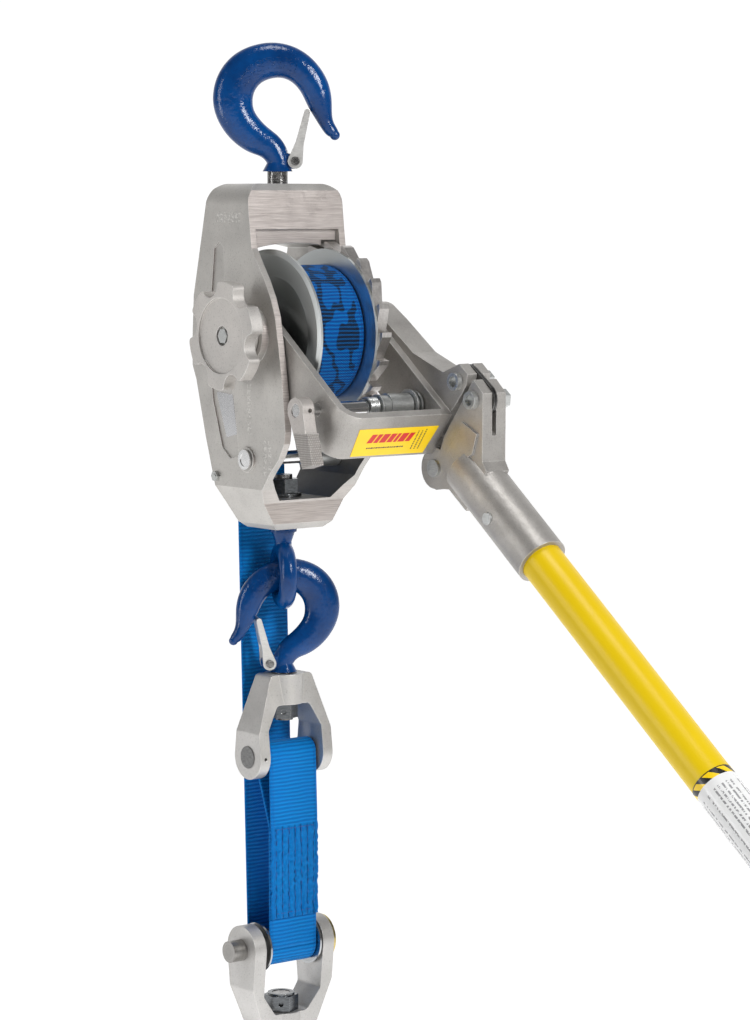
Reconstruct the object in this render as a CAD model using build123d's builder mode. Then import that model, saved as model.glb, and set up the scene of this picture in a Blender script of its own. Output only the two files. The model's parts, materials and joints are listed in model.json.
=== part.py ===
"""Strap come-along winch: ratchet drum in a cast frame, folding handle, hooks and a travelling block.

The origin is the centre of the top hook's bowl. X runs along the drum axle (the knob is at -X),
-Y is the front of the winch, where the handle stands, and +Z is up. Lengths are millimetres.
"""
import os
from math import asin, atan2, cos, degrees, hypot, radians, sin

from build123d import *

os.makedirs("parts", exist_ok=True)

# ---- driving dimensions -------------------------------------------------------------------
STRAP_WIDTH = 44.5          # 1 3/4 in webbing
STRAP_THICK = 2.0
STRAP_X = 1.0               # middle of the strap across the axle
TUBE_R = 15.875             # 1 1/4 in handle tube

AXLE_Y, AXLE_Z = -26.0, -172.0    # drum axle, measured from the top hook's bowl
AXLE_R = 8.0
RUN_CLEAR = 0.05            # radial clearance of every turning fit
GAP = 0.3                   # side clearance between moving faces

FRAME_HALF = 44.0           # half width over the side plates
PLATE_IN = 38.5             # inner face of a side plate
FRAME_TOP, FRAME_BOTTOM = 112.0, -147.0
BOSS_R = 22.0

SPOOL_R = 52.0
CORE_R = 22.0
FLANGE_R = 63.4
FLANGE_T = 2.0
TEETH = 20
PITCH = 360 / TEETH
TIP_R, ROOT_R = 68.5, 61.0
TOOTH_PHASE = 16.2          # where the first locking face stands
WHEEL_X, WHEEL_T = 26.0, 9.0

PAWL_SWING = 16.0           # turn from just clear of the teeth to fully engaged
PAWL_PIN = (5.0, -93.0)     # holding pawl shaft, from the axle
DRIVE_PIN = (-72.0, -52.0)  # drive pawl shaft, from the axle
PAWL_SHAFT_R = 5.0

DROOP = 37.3                # handle below horizontal
YOKE_HALF = 19.5            # half height of the yoke band
YOKE_REACH = 120.0          # axle to outer face of the cross piece
YOKE_WALL = 6.0
YOKE_LEFT, YOKE_RIGHT = -37.5, 61.0
YOKE_CORNER = 16.0

LEVER_X0, LEVER_X1 = 61.0, 83.0
HANDLE_X = 72.0
TUBE_N = -8.0               # tube axis below the radial line through the axle
SOCKET_R = 19.5
SOCKET_END, TUBE_END = 253.0, 700.0
LINK_BOLTS = ((110.0, 42.0), (132.5, 43.0))
PIVOT = (129.0, -26.0)

HOOK_Y = 26.0               # top hook shank, from the axle
EYE_Y = 20.0                # bottom eye shank, load hook and anchor pin
BLOCK_Y = 24.5              # travelling block
SMALL_HOOK = 0.9            # load hook and block hook against the top hook
SHANK_R = 7.75
COLLAR_DROP = 50.8          # bowl centre to collar face
HOOK_TURN = 36.8            # top and block hooks, swivelled to show their broad side to the front left
LOAD_HOOK_TURN = 25.0

ANCHOR_Z = -321.0
ANCHOR_PIN_R = 8.5
ROLLER_Z = -470.0
ROLLER_R = 13.0
BLOCK_PIN_R = 8.2

RIGHT, UP = Vector(1, 0, 0), Vector(0, 0, 1)
ALONG = Vector(0, -cos(radians(DROOP)), -sin(radians(DROOP)))
AXLE = Vector(0, AXLE_Y, AXLE_Z)


# ---- planes and small repeated features ---------------------------------------------------
def side(x):
    """Plane across the axle at x: drawn as (Y, Z) from the axle, extruded towards +X."""
    return Plane(origin=AXLE + RIGHT * x, x_dir=(0, 1, 0), z_dir=(1, 0, 0))


def front(y):
    """Upright plane facing the front: drawn as (X, Z) from the axle, extruded towards -Y."""
    return Plane(origin=AXLE + Vector(0, y, 0), x_dir=(1, 0, 0), z_dir=(0, -1, 0))


def level(z):
    """Horizontal plane: drawn as (X, Y) from the axle, extruded upwards."""
    return Plane(origin=AXLE + UP * z)


def arm(x):
    """Plane of the handle: drawn as (reach, height), extruded towards -X."""
    return Plane(origin=AXLE + RIGHT * x, x_dir=ALONG, z_dir=(-1, 0, 0))


def arm_plan(height):
    """Plane along the handle and the axle: drawn as (reach, X), extruded upwards."""
    normal = ALONG.cross(RIGHT)
    return Plane(origin=AXLE + normal * height, x_dir=ALONG, z_dir=normal)


def across(reach):
    """Plane square to the handle: drawn as (X, height), extruded outwards."""
    return Plane(origin=AXLE + ALONG * reach, x_dir=(1, 0, 0), z_dir=ALONG)


def polar(radius, angle):
    return (radius * cos(radians(angle)), radius * sin(radians(angle)))


def turned(point, centre, angle):
    """Turn a point about a centre by an angle in degrees."""
    reach = hypot(point[0] - centre[0], point[1] - centre[1])
    start = degrees(atan2(point[1] - centre[1], point[0] - centre[0]))
    step = polar(reach, start + angle)
    return (centre[0] + step[0], centre[1] + step[1])


def rod(plane, at, radius, depth, mode=Mode.ADD):
    with BuildSketch(plane) as disc:
        with Locations(at):
            Circle(radius)
    extrude(disc.sketch, amount=depth, mode=mode)


def tube(plane, at, outer, inner, depth):
    with BuildSketch(plane) as ring:
        with Locations(at):
            Circle(outer)
            Circle(inner, mode=Mode.SUBTRACT)
    extrude(ring.sketch, amount=depth)


def slab(plane, points, depth, mode=Mode.ADD):
    with BuildSketch(plane) as outline:
        Polygon(*points, align=None)
    extrude(outline.sketch, amount=depth, mode=mode)


def rounded_slab(plane, points, corner, depth, mode=Mode.ADD):
    with BuildSketch(plane) as outline:
        Polygon(*points, align=None)
        fillet(outline.vertices(), corner)
    extrude(outline.sketch, amount=depth, mode=mode)


def capsule(plane, start, start_r, end, end_r, depth, mode=Mode.ADD):
    """Straight-sided outline wrapped round two circles."""
    with BuildSketch(plane) as outline:
        with Locations(start):
            Circle(start_r)
        with Locations(end):
            Circle(end_r)
        make_hull()
    extrude(outline.sketch, amount=depth, mode=mode)


def hexagon(plane, at, across_flats, depth, bore=0.0):
    with BuildSketch(plane) as nut:
        with Locations(at):
            RegularPolygon(across_flats / 2, 6, major_radius=False)
            if bore:
                Circle(bore, mode=Mode.SUBTRACT)
    extrude(nut.sketch, amount=depth)


def coil(x_start, centre, radius, wire, turns):
    """Close-wound spring along the axle direction, as touching turns."""
    for turn in range(turns):
        with Locations(Plane(origin=side(x_start + (2 * turn + 1) * wire).from_local_coords(centre + (0,)),
                             z_dir=(1, 0, 0))):
            Torus(radius, wire)


# Hook limb: distance towards the tip, height, turn of the section, depth and breadth of each section.
HOOK_SECTIONS = (
    (0.0, -50.8, 0, 17.0, 16.5), (0.6, -43.5, 3, 18.0, 16.0), (-2.2, -38.0, 12, 20.5, 16.5),
    (-8.0, -31.8, 30, 23.5, 17.5), (-17.0, -25.6, 38, 25.0, 19.0), (-26.0, -17.0, 28, 27.0, 20.5),
    (-31.8, -7.0, 10, 28.8, 21.5), (-33.4, 4.6, -5, 30.0, 22.0), (-30.2, 16.2, -23, 30.2, 22.0),
    (-22.4, 25.6, -44, 29.4, 22.0), (-11.0, 31.0, -66, 27.8, 21.5), (1.0, 32.2, -86, 26.2, 21.0),
    (13.0, 28.6, -108, 24.6, 20.0), (22.6, 20.6, -130, 23.0, 19.0), (29.0, 10.0, -152, 21.4, 18.0),
    (32.2, -1.0, -167, 18.0, 16.0), (34.6, -9.5, -170, 13.4, 13.2), (38.6, -17.8, -156, 10.2, 10.4),
    (42.8, -23.0, -146, 7.4, 7.6),
)
HOOK_TIP, HOOK_TIP_R = (43.2, -23.6), 3.85
LATCH_PIN = (13.4, -43.2)
LATCH_END = (22.4, -6.6)
LUG_HALF = 5.7


def hook_plane(bowl, tip_side, upright):
    """Plane of a hook: drawn as (towards the tip, height), bowl centre at its origin."""
    return Plane(origin=bowl, x_dir=tip_side, z_dir=tip_side.cross(upright))


def hook_limb(plane, scale):
    """Forged limb from the collar round the bowl to the tip."""
    sections = []
    for reach, height, turn, depth, breadth in HOOK_SECTIONS:
        across_dir = plane.x_dir * cos(radians(turn)) + plane.y_dir * sin(radians(turn))
        onward = plane.y_dir * cos(radians(turn)) - plane.x_dir * sin(radians(turn))
        spot = plane.origin + (plane.x_dir * reach + plane.y_dir * height) * scale
        with BuildSketch(Plane(origin=spot, x_dir=across_dir, z_dir=onward)) as section:
            Ellipse(depth / 2 * scale, breadth / 2 * scale)
        sections.append(section.sketch)
    loft(sections=sections)
    with Locations(plane.origin + (plane.x_dir * HOOK_TIP[0] + plane.y_dir * HOOK_TIP[1]) * scale):
        Sphere(HOOK_TIP_R * scale)


def hook_fittings(plane, scale, shank_length):
    """Collar, shank, latch lug and latch rivet of a hook."""
    foot_centre = plane.origin - plane.y_dir * COLLAR_DROP * scale
    foot = Plane(origin=foot_centre, x_dir=plane.x_dir, z_dir=-plane.y_dir)
    rod(foot, (0, 0), SHANK_R * scale, shank_length)
    with BuildSketch(Plane(origin=foot.origin, x_dir=foot.x_dir, z_dir=foot.z_dir)) as wide:
        Circle(11.4 * scale)
    with BuildSketch(Plane(origin=foot.origin - foot.z_dir * 7 * scale, x_dir=foot.x_dir,
                           z_dir=foot.z_dir)) as narrow:
        Circle(7.6 * scale)
    loft(sections=[wide.sketch, narrow.sketch])
    pin = (LATCH_PIN[0] * scale, LATCH_PIN[1] * scale)
    lug = plane.offset(-LUG_HALF * scale)
    capsule(lug, (0, pin[1]), 6.0 * scale, pin, 5.6 * scale, 2 * LUG_HALF * scale)
    rod(plane.offset(-8.0 * scale), pin, 2.2 * scale, 16.0 * scale)
    for face, step in ((8.0, 1.4), (-9.4, 1.4)):
        rod(plane.offset(face * scale), pin, 3.4 * scale, step * scale)


def latch_body(plane, scale):
    """Folded sheet latch: two cheeks on the rivet and a bar that closes the throat."""
    pin = (LATCH_PIN[0] * scale, LATCH_PIN[1] * scale)
    end = (LATCH_END[0] * scale, LATCH_END[1] * scale)
    half, inner, sheet = 7.6 * scale, 6.1 * scale, 1.5 * scale
    neck = (pin[0] + 0.36 * (end[0] - pin[0]), pin[1] + 0.36 * (end[1] - pin[1]))
    capsule(plane.offset(-half), pin, 5.6 * scale, neck, 3.2 * scale, 2 * half)
    capsule(plane.offset(-half), neck, 3.2 * scale, end, 2.3 * scale, 2 * half)
    shift = (pin[0] - sheet, pin[1])
    capsule(plane.offset(-inner), shift, 7.6 * scale, (end[0] - sheet - 1.2 * scale, end[1] + 6 * scale),
            2.4 * scale, 2 * inner, mode=Mode.SUBTRACT)
    rod(plane.offset(-half), pin, 2.2 * scale + RUN_CLEAR, 2 * half, mode=Mode.SUBTRACT)


TURN = Vector(cos(radians(HOOK_TURN)), -sin(radians(HOOK_TURN)), 0)
LOAD_TURN = Vector(cos(radians(LOAD_HOOK_TURN)), -sin(radians(LOAD_HOOK_TURN)), 0)
TOP_HOOK = hook_plane(AXLE + Vector(0, HOOK_Y, -AXLE_Z), TURN, UP)
COLLAR_TOP = -AXLE_Z - COLLAR_DROP                      # top hook collar, from the axle
ANCHOR_TOP = ANCHOR_Z + 62.0
LOAD_COLLAR = ANCHOR_TOP + 1.0
LOAD_HOOK = hook_plane(AXLE + Vector(0, EYE_Y, LOAD_COLLAR + COLLAR_DROP * SMALL_HOOK), -LOAD_TURN, UP)
BLOCK_FLOOR, BLOCK_BASE = ROLLER_Z - 52.0, ROLLER_Z - 75.0
BLOCK_HOOK = hook_plane(AXLE + Vector(0, BLOCK_Y, BLOCK_BASE - 2.0 - COLLAR_DROP * SMALL_HOOK), -TURN, -UP)



def nut_plane(y, z):
    """Level plane for a hook's nut, one flat of which is parallel to the hook."""
    return Plane(origin=AXLE + Vector(0, y, z), x_dir=TURN, z_dir=UP)


def nut_face(y, z):
    """Upright plane for the cross hole in that flat, extruded away from the shank."""
    outward = TURN.cross(UP)
    return Plane(origin=AXLE + Vector(0, y, z) + outward * 7.2, x_dir=TURN, z_dir=outward)


# ---- frame --------------------------------------------------------------------------------
SIDE_OUTLINE = (
    (10, 112), (4, 107), (3, 96), (1, 79), (-1, 64), (-9, 52), (-17.5, 40), (-25, 27), (-30, 14),
    (-33, -2), (-36, -18), (-40, -46), (-42.5, -70), (-41, -79), (-34, -91), (-24, -101), (-13, -115),
    (-6.5, -126), (-5.5, -142), (-1, -147), (36, -147), (41, -142), (44, -128), (47.5, -114),
    (59, -79), (71, -36), (76, -25), (76, -5), (74, 28), (66, 61), (57, 99), (54, 108), (49, 112),
)
PANEL_OUTLINE = (
    (41, 69), (46.5, 64), (54.5, -5), (49, -51), (37, -86),
    (27, -93.5), (16, -90), (22.4, -49.6), (30, -5), (35.5, 65),
)
PLATE_DEPTH = (-60.0, 90.0)

with BuildPart() as frame_casting:
    with BuildSketch(front(PLATE_DEPTH[1])) as ring:
        with BuildLine() as ring_outer:
            Polyline((-FRAME_HALF, 97), (-FRAME_HALF, -115), (-27, -143), (-22, FRAME_BOTTOM),
                     (22, FRAME_BOTTOM), (27, -143), (FRAME_HALF, -115), (FRAME_HALF, 97))
            RadiusArc((FRAME_HALF, 97), (FRAME_HALF - 15, FRAME_TOP), -15)
            Line((FRAME_HALF - 15, FRAME_TOP), (15 - FRAME_HALF, FRAME_TOP))
            RadiusArc((15 - FRAME_HALF, FRAME_TOP), (-FRAME_HALF, 97), -15)
        make_face()
        with BuildLine() as ring_inner:
            Polyline((-PLATE_IN, 63.5), (-PLATE_IN, -107), (-24, -124), (24, -124), (PLATE_IN, -107),
                     (PLATE_IN, 63.5))
            ThreePointArc((PLATE_IN, 63.5), (0, 67.8), (-PLATE_IN, 63.5))
        make_face(mode=Mode.SUBTRACT)
    extrude(amount=PLATE_DEPTH[1] - PLATE_DEPTH[0])
    with BuildSketch(side(-FRAME_HALF - 1)) as silhouette:
        Polygon(*SIDE_OUTLINE, align=None)
    extrude(amount=2 * FRAME_HALF + 2, mode=Mode.INTERSECT)
    # ledge under the top block, pocket for the hook nut, relief round the ratchet wheel
    slab(side(-PLATE_IN), ((-20, 60), (5, 60), (5, 78), (-20, 78)), 2 * PLATE_IN, mode=Mode.SUBTRACT)
    slab(side(-20), ((12, 60), (80, 60), (80, 87), (12, 87)), 40, mode=Mode.SUBTRACT)
    rod(side(WHEEL_X - 1), (0, 0), TIP_R + 1.5, PLATE_IN - WHEEL_X + 1, mode=Mode.SUBTRACT)
    # axle bosses and the holding pawl shaft bosses
    rod(side(-FRAME_HALF - 6), (0, 0), BOSS_R, 6)
    rod(side(FRAME_HALF), (0, 0), BOSS_R, 10)
    rod(side(-FRAME_HALF - 1.5), PAWL_PIN, 9.5, 1.5)
    rod(side(FRAME_HALF), PAWL_PIN, 9.5, 1.5)
    # long shallow panel in the rear half of each side plate
    for face in (-FRAME_HALF, FRAME_HALF - 1.2):
        rounded_slab(side(face), PANEL_OUTLINE, 2.5, 1.2, mode=Mode.SUBTRACT)
    rod(side(-FRAME_HALF - 7), (0, 0), AXLE_R + RUN_CLEAR, 2 * FRAME_HALF + 20, mode=Mode.SUBTRACT)
    rod(side(-FRAME_HALF - 2), PAWL_PIN, PAWL_SHAFT_R, 2 * FRAME_HALF + 4, mode=Mode.SUBTRACT)
    rod(level(60), (0, HOOK_Y), SHANK_R + RUN_CLEAR, 60, mode=Mode.SUBTRACT)
    rod(level(FRAME_BOTTOM - 1), (0, EYE_Y), 7.0 + RUN_CLEAR, 30, mode=Mode.SUBTRACT)
frame_casting.part.label = "frame_casting"
export_step(frame_casting.part, "parts/frame_casting.step")

with BuildPart() as holding_pawl_shaft:
    rod(side(-FRAME_HALF - 3), PAWL_PIN, PAWL_SHAFT_R, 2 * FRAME_HALF + 6)
    for face in (-FRAME_HALF - 3.5, FRAME_HALF + 2):
        tube(side(face), PAWL_PIN, 7.5, PAWL_SHAFT_R, 1.5)
holding_pawl_shaft.part.label = "holding_pawl_shaft"
export_step(holding_pawl_shaft.part, "parts/holding_pawl_shaft.step")

with BuildPart() as plate_label:
    rounded_slab(side(-FRAME_HALF + 0.9), ((46, -44), (25, -45.5), (19.5, -75), (33, -78)), 1.5, 0.3)
plate_label.part.label = "plate_label"
export_step(plate_label.part, "parts/plate_label.step")

with BuildPart() as plate_screws:
    for head, stub in ((-FRAME_HALF - 2.6, -FRAME_HALF - 3.2), (FRAME_HALF, FRAME_HALF + 2.6)):
        hexagon(side(head), (45, -108), 7, 2.6)
        rod(side(stub), (45, -108), 2.0, 0.6)
plate_screws.part.label = "plate_screws"
export_step(plate_screws.part, "parts/plate_screws.step")

# ---- top hook -----------------------------------------------------------------------------
with BuildPart() as top_hook:
    hook_limb(TOP_HOOK, 1.0)
    hook_fittings(TOP_HOOK, 1.0, COLLAR_TOP - 69)
top_hook.part.label = "top_hook"
export_step(top_hook.part, "parts/top_hook.step")

with BuildPart() as top_hook_nut:
    hexagon(level(72), (0, HOOK_Y), 21, 12, bore=SHANK_R)
    tube(level(84), (0, HOOK_Y), 12.6, SHANK_R, 2.6)
top_hook_nut.part.label = "top_hook_nut"
export_step(top_hook_nut.part, "parts/top_hook_nut.step")

with BuildPart() as top_latch:
    latch_body(TOP_HOOK, 1.0)
top_latch.part.label = "top_latch"
export_step(top_latch.part, "parts/top_latch.step")

# ---- drum ---------------------------------------------------------------------------------
STRAP_LEFT, STRAP_RIGHT = STRAP_X - STRAP_WIDTH / 2, STRAP_X + STRAP_WIDTH / 2
DRUM_LEFT, DRUM_RIGHT = STRAP_LEFT - 0.5, STRAP_RIGHT + 0.7
KNOB_SEAT = -66.0           # end of the axle inside the knob

with BuildPart() as drum_axle:
    rod(side(KNOB_SEAT), (0, 0), AXLE_R, 92 - KNOB_SEAT)
    tube(side(LEVER_X1 + GAP), (0, 0), 13, AXLE_R, 1.6)
    tube(side(-PLATE_IN + GAP), (0, 0), 12, AXLE_R, 0.6)
drum_axle.part.label = "drum_axle"
export_step(drum_axle.part, "parts/drum_axle.step")

with BuildPart() as axle_nut:
    hexagon(side(LEVER_X1 + 2.2), (0, 0), 22, 6, bore=AXLE_R)
axle_nut.part.label = "axle_nut"
export_step(axle_nut.part, "parts/axle_nut.step")

with BuildPart() as drum_core:
    tube(side(DRUM_LEFT), (0, 0), CORE_R, AXLE_R, DRUM_RIGHT - DRUM_LEFT)
drum_core.part.label = "drum_core"
export_step(drum_core.part, "parts/drum_core.step")

with BuildPart() as left_flange:
    with BuildSketch(Plane(origin=AXLE + RIGHT * DRUM_LEFT, x_dir=(-1, 0, 0), z_dir=(0, -1, 0))):
        Polygon((0, AXLE_R), (0, 44), (3.2, FLANGE_R - 3), (3.2, FLANGE_R), (5.0, FLANGE_R),
                (5.6, FLANGE_R - 4), (FLANGE_T, 43), (FLANGE_T, AXLE_R), align=None)
    revolve(axis=Axis(AXLE, (1, 0, 0)))
left_flange.part.label = "left_flange"
export_step(left_flange.part, "parts/left_flange.step")

with BuildPart() as right_flange:
    tube(side(DRUM_RIGHT), (0, 0), FLANGE_R, AXLE_R, WHEEL_X - DRUM_RIGHT)
right_flange.part.label = "right_flange"
export_step(right_flange.part, "parts/right_flange.step")

tooth_points = []
for tooth in range(TEETH):
    locking_face = TOOTH_PHASE + tooth * PITCH
    tooth_points.append(polar(ROOT_R, locking_face))
    tooth_points.append(polar(TIP_R, locking_face))
    tooth_points.append(polar(TIP_R - 0.3, locking_face + 3))

with BuildPart() as ratchet_wheel:
    slab(side(WHEEL_X), tooth_points, WHEEL_T)
    rod(side(WHEEL_X), (0, 0), AXLE_R, WHEEL_T, mode=Mode.SUBTRACT)
    with BuildSketch(side(WHEEL_X + WHEEL_T - 2)) as dish:
        Circle(54)
        Circle(22, mode=Mode.SUBTRACT)
    extrude(dish.sketch, amount=2, mode=Mode.SUBTRACT)
ratchet_wheel.part.label = "ratchet_wheel"
export_step(ratchet_wheel.part, "parts/ratchet_wheel.step")

with BuildPart() as knob:
    with BuildSketch(side(-72)) as lobes:
        Circle(40.2)
        with PolarLocations(40, 6, start_angle=10):
            Circle(9.6, mode=Mode.SUBTRACT)
        fillet(lobes.vertices(), 3.2)
    extrude(lobes.sketch, amount=10)
    rod(side(-62), (0, 0), 18, 62 - FRAME_HALF - 6 - GAP)
    rod(side(-72), (0, 0), 28, 1.6, mode=Mode.SUBTRACT)
    rod(side(-72), (0, 0), 7.2, 6, mode=Mode.SUBTRACT)
    rod(side(KNOB_SEAT), (0, 0), AXLE_R, 26, mode=Mode.SUBTRACT)
knob.part.label = "knob"
export_step(knob.part, "parts/knob.step")

with BuildPart() as knob_screw:
    rod(side(KNOB_SEAT - 1.6), (0, 0), 7.0, 1.6)
    hexagon(side(KNOB_SEAT - 4.2), (0, 0), 10, 2.6)
knob_screw.part.label = "knob_screw"
export_step(knob_screw.part, "parts/knob_screw.step")

with BuildPart() as strap_spool:
    tube(side(STRAP_LEFT), (0, 0), SPOOL_R, CORE_R, STRAP_WIDTH)
strap_spool.part.label = "strap_spool"
export_step(strap_spool.part, "parts/strap_spool.step")

# ---- yoke, lever and handle ---------------------------------------------------------------
with BuildPart() as yoke:
    with BuildSketch(arm_plan(-YOKE_HALF)) as band:
        with BuildLine() as band_outline:
            inner_left, inner_right = YOKE_LEFT + YOKE_WALL, YOKE_RIGHT - YOKE_WALL
            inner_reach, inner_corner = YOKE_REACH - YOKE_WALL, YOKE_CORNER - YOKE_WALL
            Line((0, YOKE_LEFT), (YOKE_REACH - YOKE_CORNER, YOKE_LEFT))
            ThreePointArc((YOKE_REACH - YOKE_CORNER, YOKE_LEFT),
                          (YOKE_REACH - YOKE_CORNER * (1 - cos(radians(45))),
                           YOKE_LEFT + YOKE_CORNER * (1 - cos(radians(45)))),
                          (YOKE_REACH, YOKE_LEFT + YOKE_CORNER))
            Polyline((YOKE_REACH, YOKE_LEFT + YOKE_CORNER), (YOKE_REACH, YOKE_RIGHT), (0, YOKE_RIGHT),
                     (0, inner_right), (inner_reach, inner_right), (inner_reach, YOKE_LEFT + YOKE_CORNER))
            ThreePointArc((inner_reach, YOKE_LEFT + YOKE_CORNER),
                          (inner_reach - inner_corner * (1 - cos(radians(45))),
                           inner_left + inner_corner * (1 - cos(radians(45)))),
                          (YOKE_REACH - YOKE_CORNER, inner_left))
            Polyline((YOKE_REACH - YOKE_CORNER, inner_left), (0, inner_left), (0, YOKE_LEFT))
        make_face()
    extrude(band.sketch, amount=2 * YOKE_HALF)
    # rounded ends of both arms round the axle
    rod(side(YOKE_LEFT), (0, 0), YOKE_HALF, YOKE_WALL)
    rod(side(FRAME_HALF + 10 + GAP), (0, 0), YOKE_HALF + 3, LEVER_X1 - FRAME_HALF - 10 - GAP)
    # outer lever with its rising rib and the slotted link boss
    slab(arm(LEVER_X1), ((0, -19.5), (60, -19.5), (100, -19.5), (112, -11), (117, -5), (117, 13), (119, 29),
                         (120, 46), (116, 54), (104, 54), (93, 37), (57, 26), (15, 24), (0, 22.5)),
         LEVER_X1 - LEVER_X0)
    capsule(arm(HANDLE_X + 5.5), PIVOT, 12, (104, -6), 10, 11)
    # lightening pocket on the outer side of the lever
    pocket = ((30, -13), (98, -13), (110, 0), (110, 22), (94, 28), (58, 18), (30, 16))
    rounded_slab(arm(LEVER_X1), pocket, 4, 8, mode=Mode.SUBTRACT)
    slab(arm(HANDLE_X + 2), ((95, 28), (125, 28), (125, 60), (95, 60)), 4, mode=Mode.SUBTRACT)
    rod(arm(LEVER_X1 + 1), LINK_BOLTS[0], 4, 30, mode=Mode.SUBTRACT)
    rod(arm(HANDLE_X + 10), PIVOT, 5, 20, mode=Mode.SUBTRACT)
    rod(side(YOKE_LEFT - 1), (0, 0), AXLE_R + RUN_CLEAR, YOKE_WALL + 2, mode=Mode.SUBTRACT)
    rod(side(FRAME_HALF), (0, 0), AXLE_R + RUN_CLEAR, 50, mode=Mode.SUBTRACT)
    rod(side(YOKE_LEFT - 1), DRIVE_PIN, PAWL_SHAFT_R + RUN_CLEAR, YOKE_WALL + 2, mode=Mode.SUBTRACT)
    rod(side(50), DRIVE_PIN, PAWL_SHAFT_R + RUN_CLEAR, 10.5, mode=Mode.SUBTRACT)
yoke.part.label = "yoke"
export_step(yoke.part, "parts/yoke.step")

with BuildPart() as yoke_label:
    slab(across(YOKE_REACH), ((-20, 8.4), (54, 8.4), (51, -17.4), (-17, -17.4)), 0.3)
yoke_label.part.label = "yoke_label"
export_step(yoke_label.part, "parts/yoke_label.step")

LINK_INNER, LINK_T = 0.25, 1.5
with BuildPart() as link_plates:
    for near_face in (HANDLE_X + LINK_INNER + LINK_T, HANDLE_X - LINK_INNER):
        capsule(arm(near_face), LINK_BOLTS[0], 12.6, LINK_BOLTS[1], 12.6, LINK_T)
        for bolt in LINK_BOLTS:
            rod(arm(near_face), bolt, 4, LINK_T, mode=Mode.SUBTRACT)
link_plates.part.label = "link_plates"
export_step(link_plates.part, "parts/link_plates.step")

with BuildPart() as link_bolts:
    for bolt in LINK_BOLTS:
        rod(arm(LEVER_X1 + 10), bolt, 4, LEVER_X1 - LEVER_X0 + 11)
        hexagon(arm(LEVER_X1 + 8.5), bolt, 13, 8.5, bore=4)
        tube(arm(LEVER_X0), bolt, 6.6, 4, 4.4)
link_bolts.part.label = "link_bolts"
export_step(link_bolts.part, "parts/link_bolts.step")

EAR_X0, EAR_X1 = LEVER_X0, 84.5
with BuildPart() as handle_socket:
    slab(arm(LEVER_X1), ((123.5, 34), (123.5, 55), (138, 54), (141, 50), (168, 14), (176, 11), (176, -27),
                         (150, -27.5), (140, -38), (126, -38), (126, -12), (123, 2)), LEVER_X1 - LEVER_X0)
    for face, width in ((EAR_X0 + 4.8, 4.8), (EAR_X1, 6.2)):
        capsule(arm(face), PIVOT, 15.5, (148, -16), 11, width)
    with BuildSketch(across(150)) as barrel:
        with Locations((HANDLE_X, TUBE_N)):
            Circle(SOCKET_R)
    extrude(barrel.sketch, amount=SOCKET_END - 150)
    slab(arm(LEVER_X0), ((133, 23), (152, 27), (157, 12), (148, -6), (134, -4)), 1.5)
    # room for the lever's lug between the ears
    lug_room = ((100, -60), (100, 8), (124, 8), (146, -12), (146, -60))
    slab(arm(HANDLE_X + 6.2), lug_room, 12.4, mode=Mode.SUBTRACT)
    slab(arm(HANDLE_X + 2), ((110, 29), (157.5, 29), (180, 60), (110, 60)), 4, mode=Mode.SUBTRACT)
    with BuildSketch(across(186)) as socket_bore:
        with Locations((HANDLE_X, TUBE_N)):
            Circle(TUBE_R)
    extrude(socket_bore.sketch, amount=SOCKET_END - 180, mode=Mode.SUBTRACT)
    rod(arm(LEVER_X1 + 1), LINK_BOLTS[1], 4, 30, mode=Mode.SUBTRACT)
    rod(arm(EAR_X1 + 1), PIVOT, 5, 30, mode=Mode.SUBTRACT)
    rod(arm(HANDLE_X + SOCKET_R + 1), (205, TUBE_N), 3, 2 * SOCKET_R + 2, mode=Mode.SUBTRACT)
    for face in (HANDLE_X + SOCKET_R + 1.2, HANDLE_X - SOCKET_R + 1.2):
        rod(arm(face), (205, TUBE_N), 4.6, 2.4, mode=Mode.SUBTRACT)
handle_socket.part.label = "handle_socket"
export_step(handle_socket.part, "parts/handle_socket.step")

with BuildPart() as pivot_pin:
    rod(arm(EAR_X1 + 1), PIVOT, 5, EAR_X1 - EAR_X0 + 2)
    rod(arm(EAR_X1 + 2.2), PIVOT, 8, 1.2)
    rod(arm(EAR_X0), PIVOT, 6.5, 2.2)
pivot_pin.part.label = "pivot_pin"
export_step(pivot_pin.part, "parts/pivot_pin.step")

with BuildPart() as handle_tube:
    with BuildSketch(across(187)) as tube_wall:
        with Locations((HANDLE_X, TUBE_N)):
            Circle(TUBE_R)
            Circle(TUBE_R - 3, mode=Mode.SUBTRACT)
    extrude(tube_wall.sketch, amount=TUBE_END - 187)
    rod(arm(HANDLE_X + SOCKET_R + 1), (205, TUBE_N), 3, 2 * SOCKET_R + 2, mode=Mode.SUBTRACT)
handle_tube.part.label = "handle_tube"
export_step(handle_tube.part, "parts/handle_tube.step")

with BuildPart() as socket_rivet:
    rod(arm(HANDLE_X + SOCKET_R), (205, TUBE_N), 3, 2 * SOCKET_R)
    for face in (HANDLE_X + SOCKET_R + 1.2, HANDLE_X - SOCKET_R + 1.2):
        rod(arm(face), (205, TUBE_N), 4.6, 2.4)
socket_rivet.part.label = "socket_rivet"
export_step(socket_rivet.part, "parts/socket_rivet.step")

with BuildPart() as end_cap:
    with BuildSketch(across(TUBE_END)) as cap_disc:
        with Locations((HANDLE_X, TUBE_N)):
            Circle(TUBE_R + 0.8)
    extrude(cap_disc.sketch, amount=3)
    with BuildSketch(across(TUBE_END - 16)) as cap_plug:
        with Locations((HANDLE_X, TUBE_N)):
            Circle(TUBE_R - 3)
    extrude(cap_plug.sketch, amount=16)
end_cap.part.label = "end_cap"
export_step(end_cap.part, "parts/end_cap.step")

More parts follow.
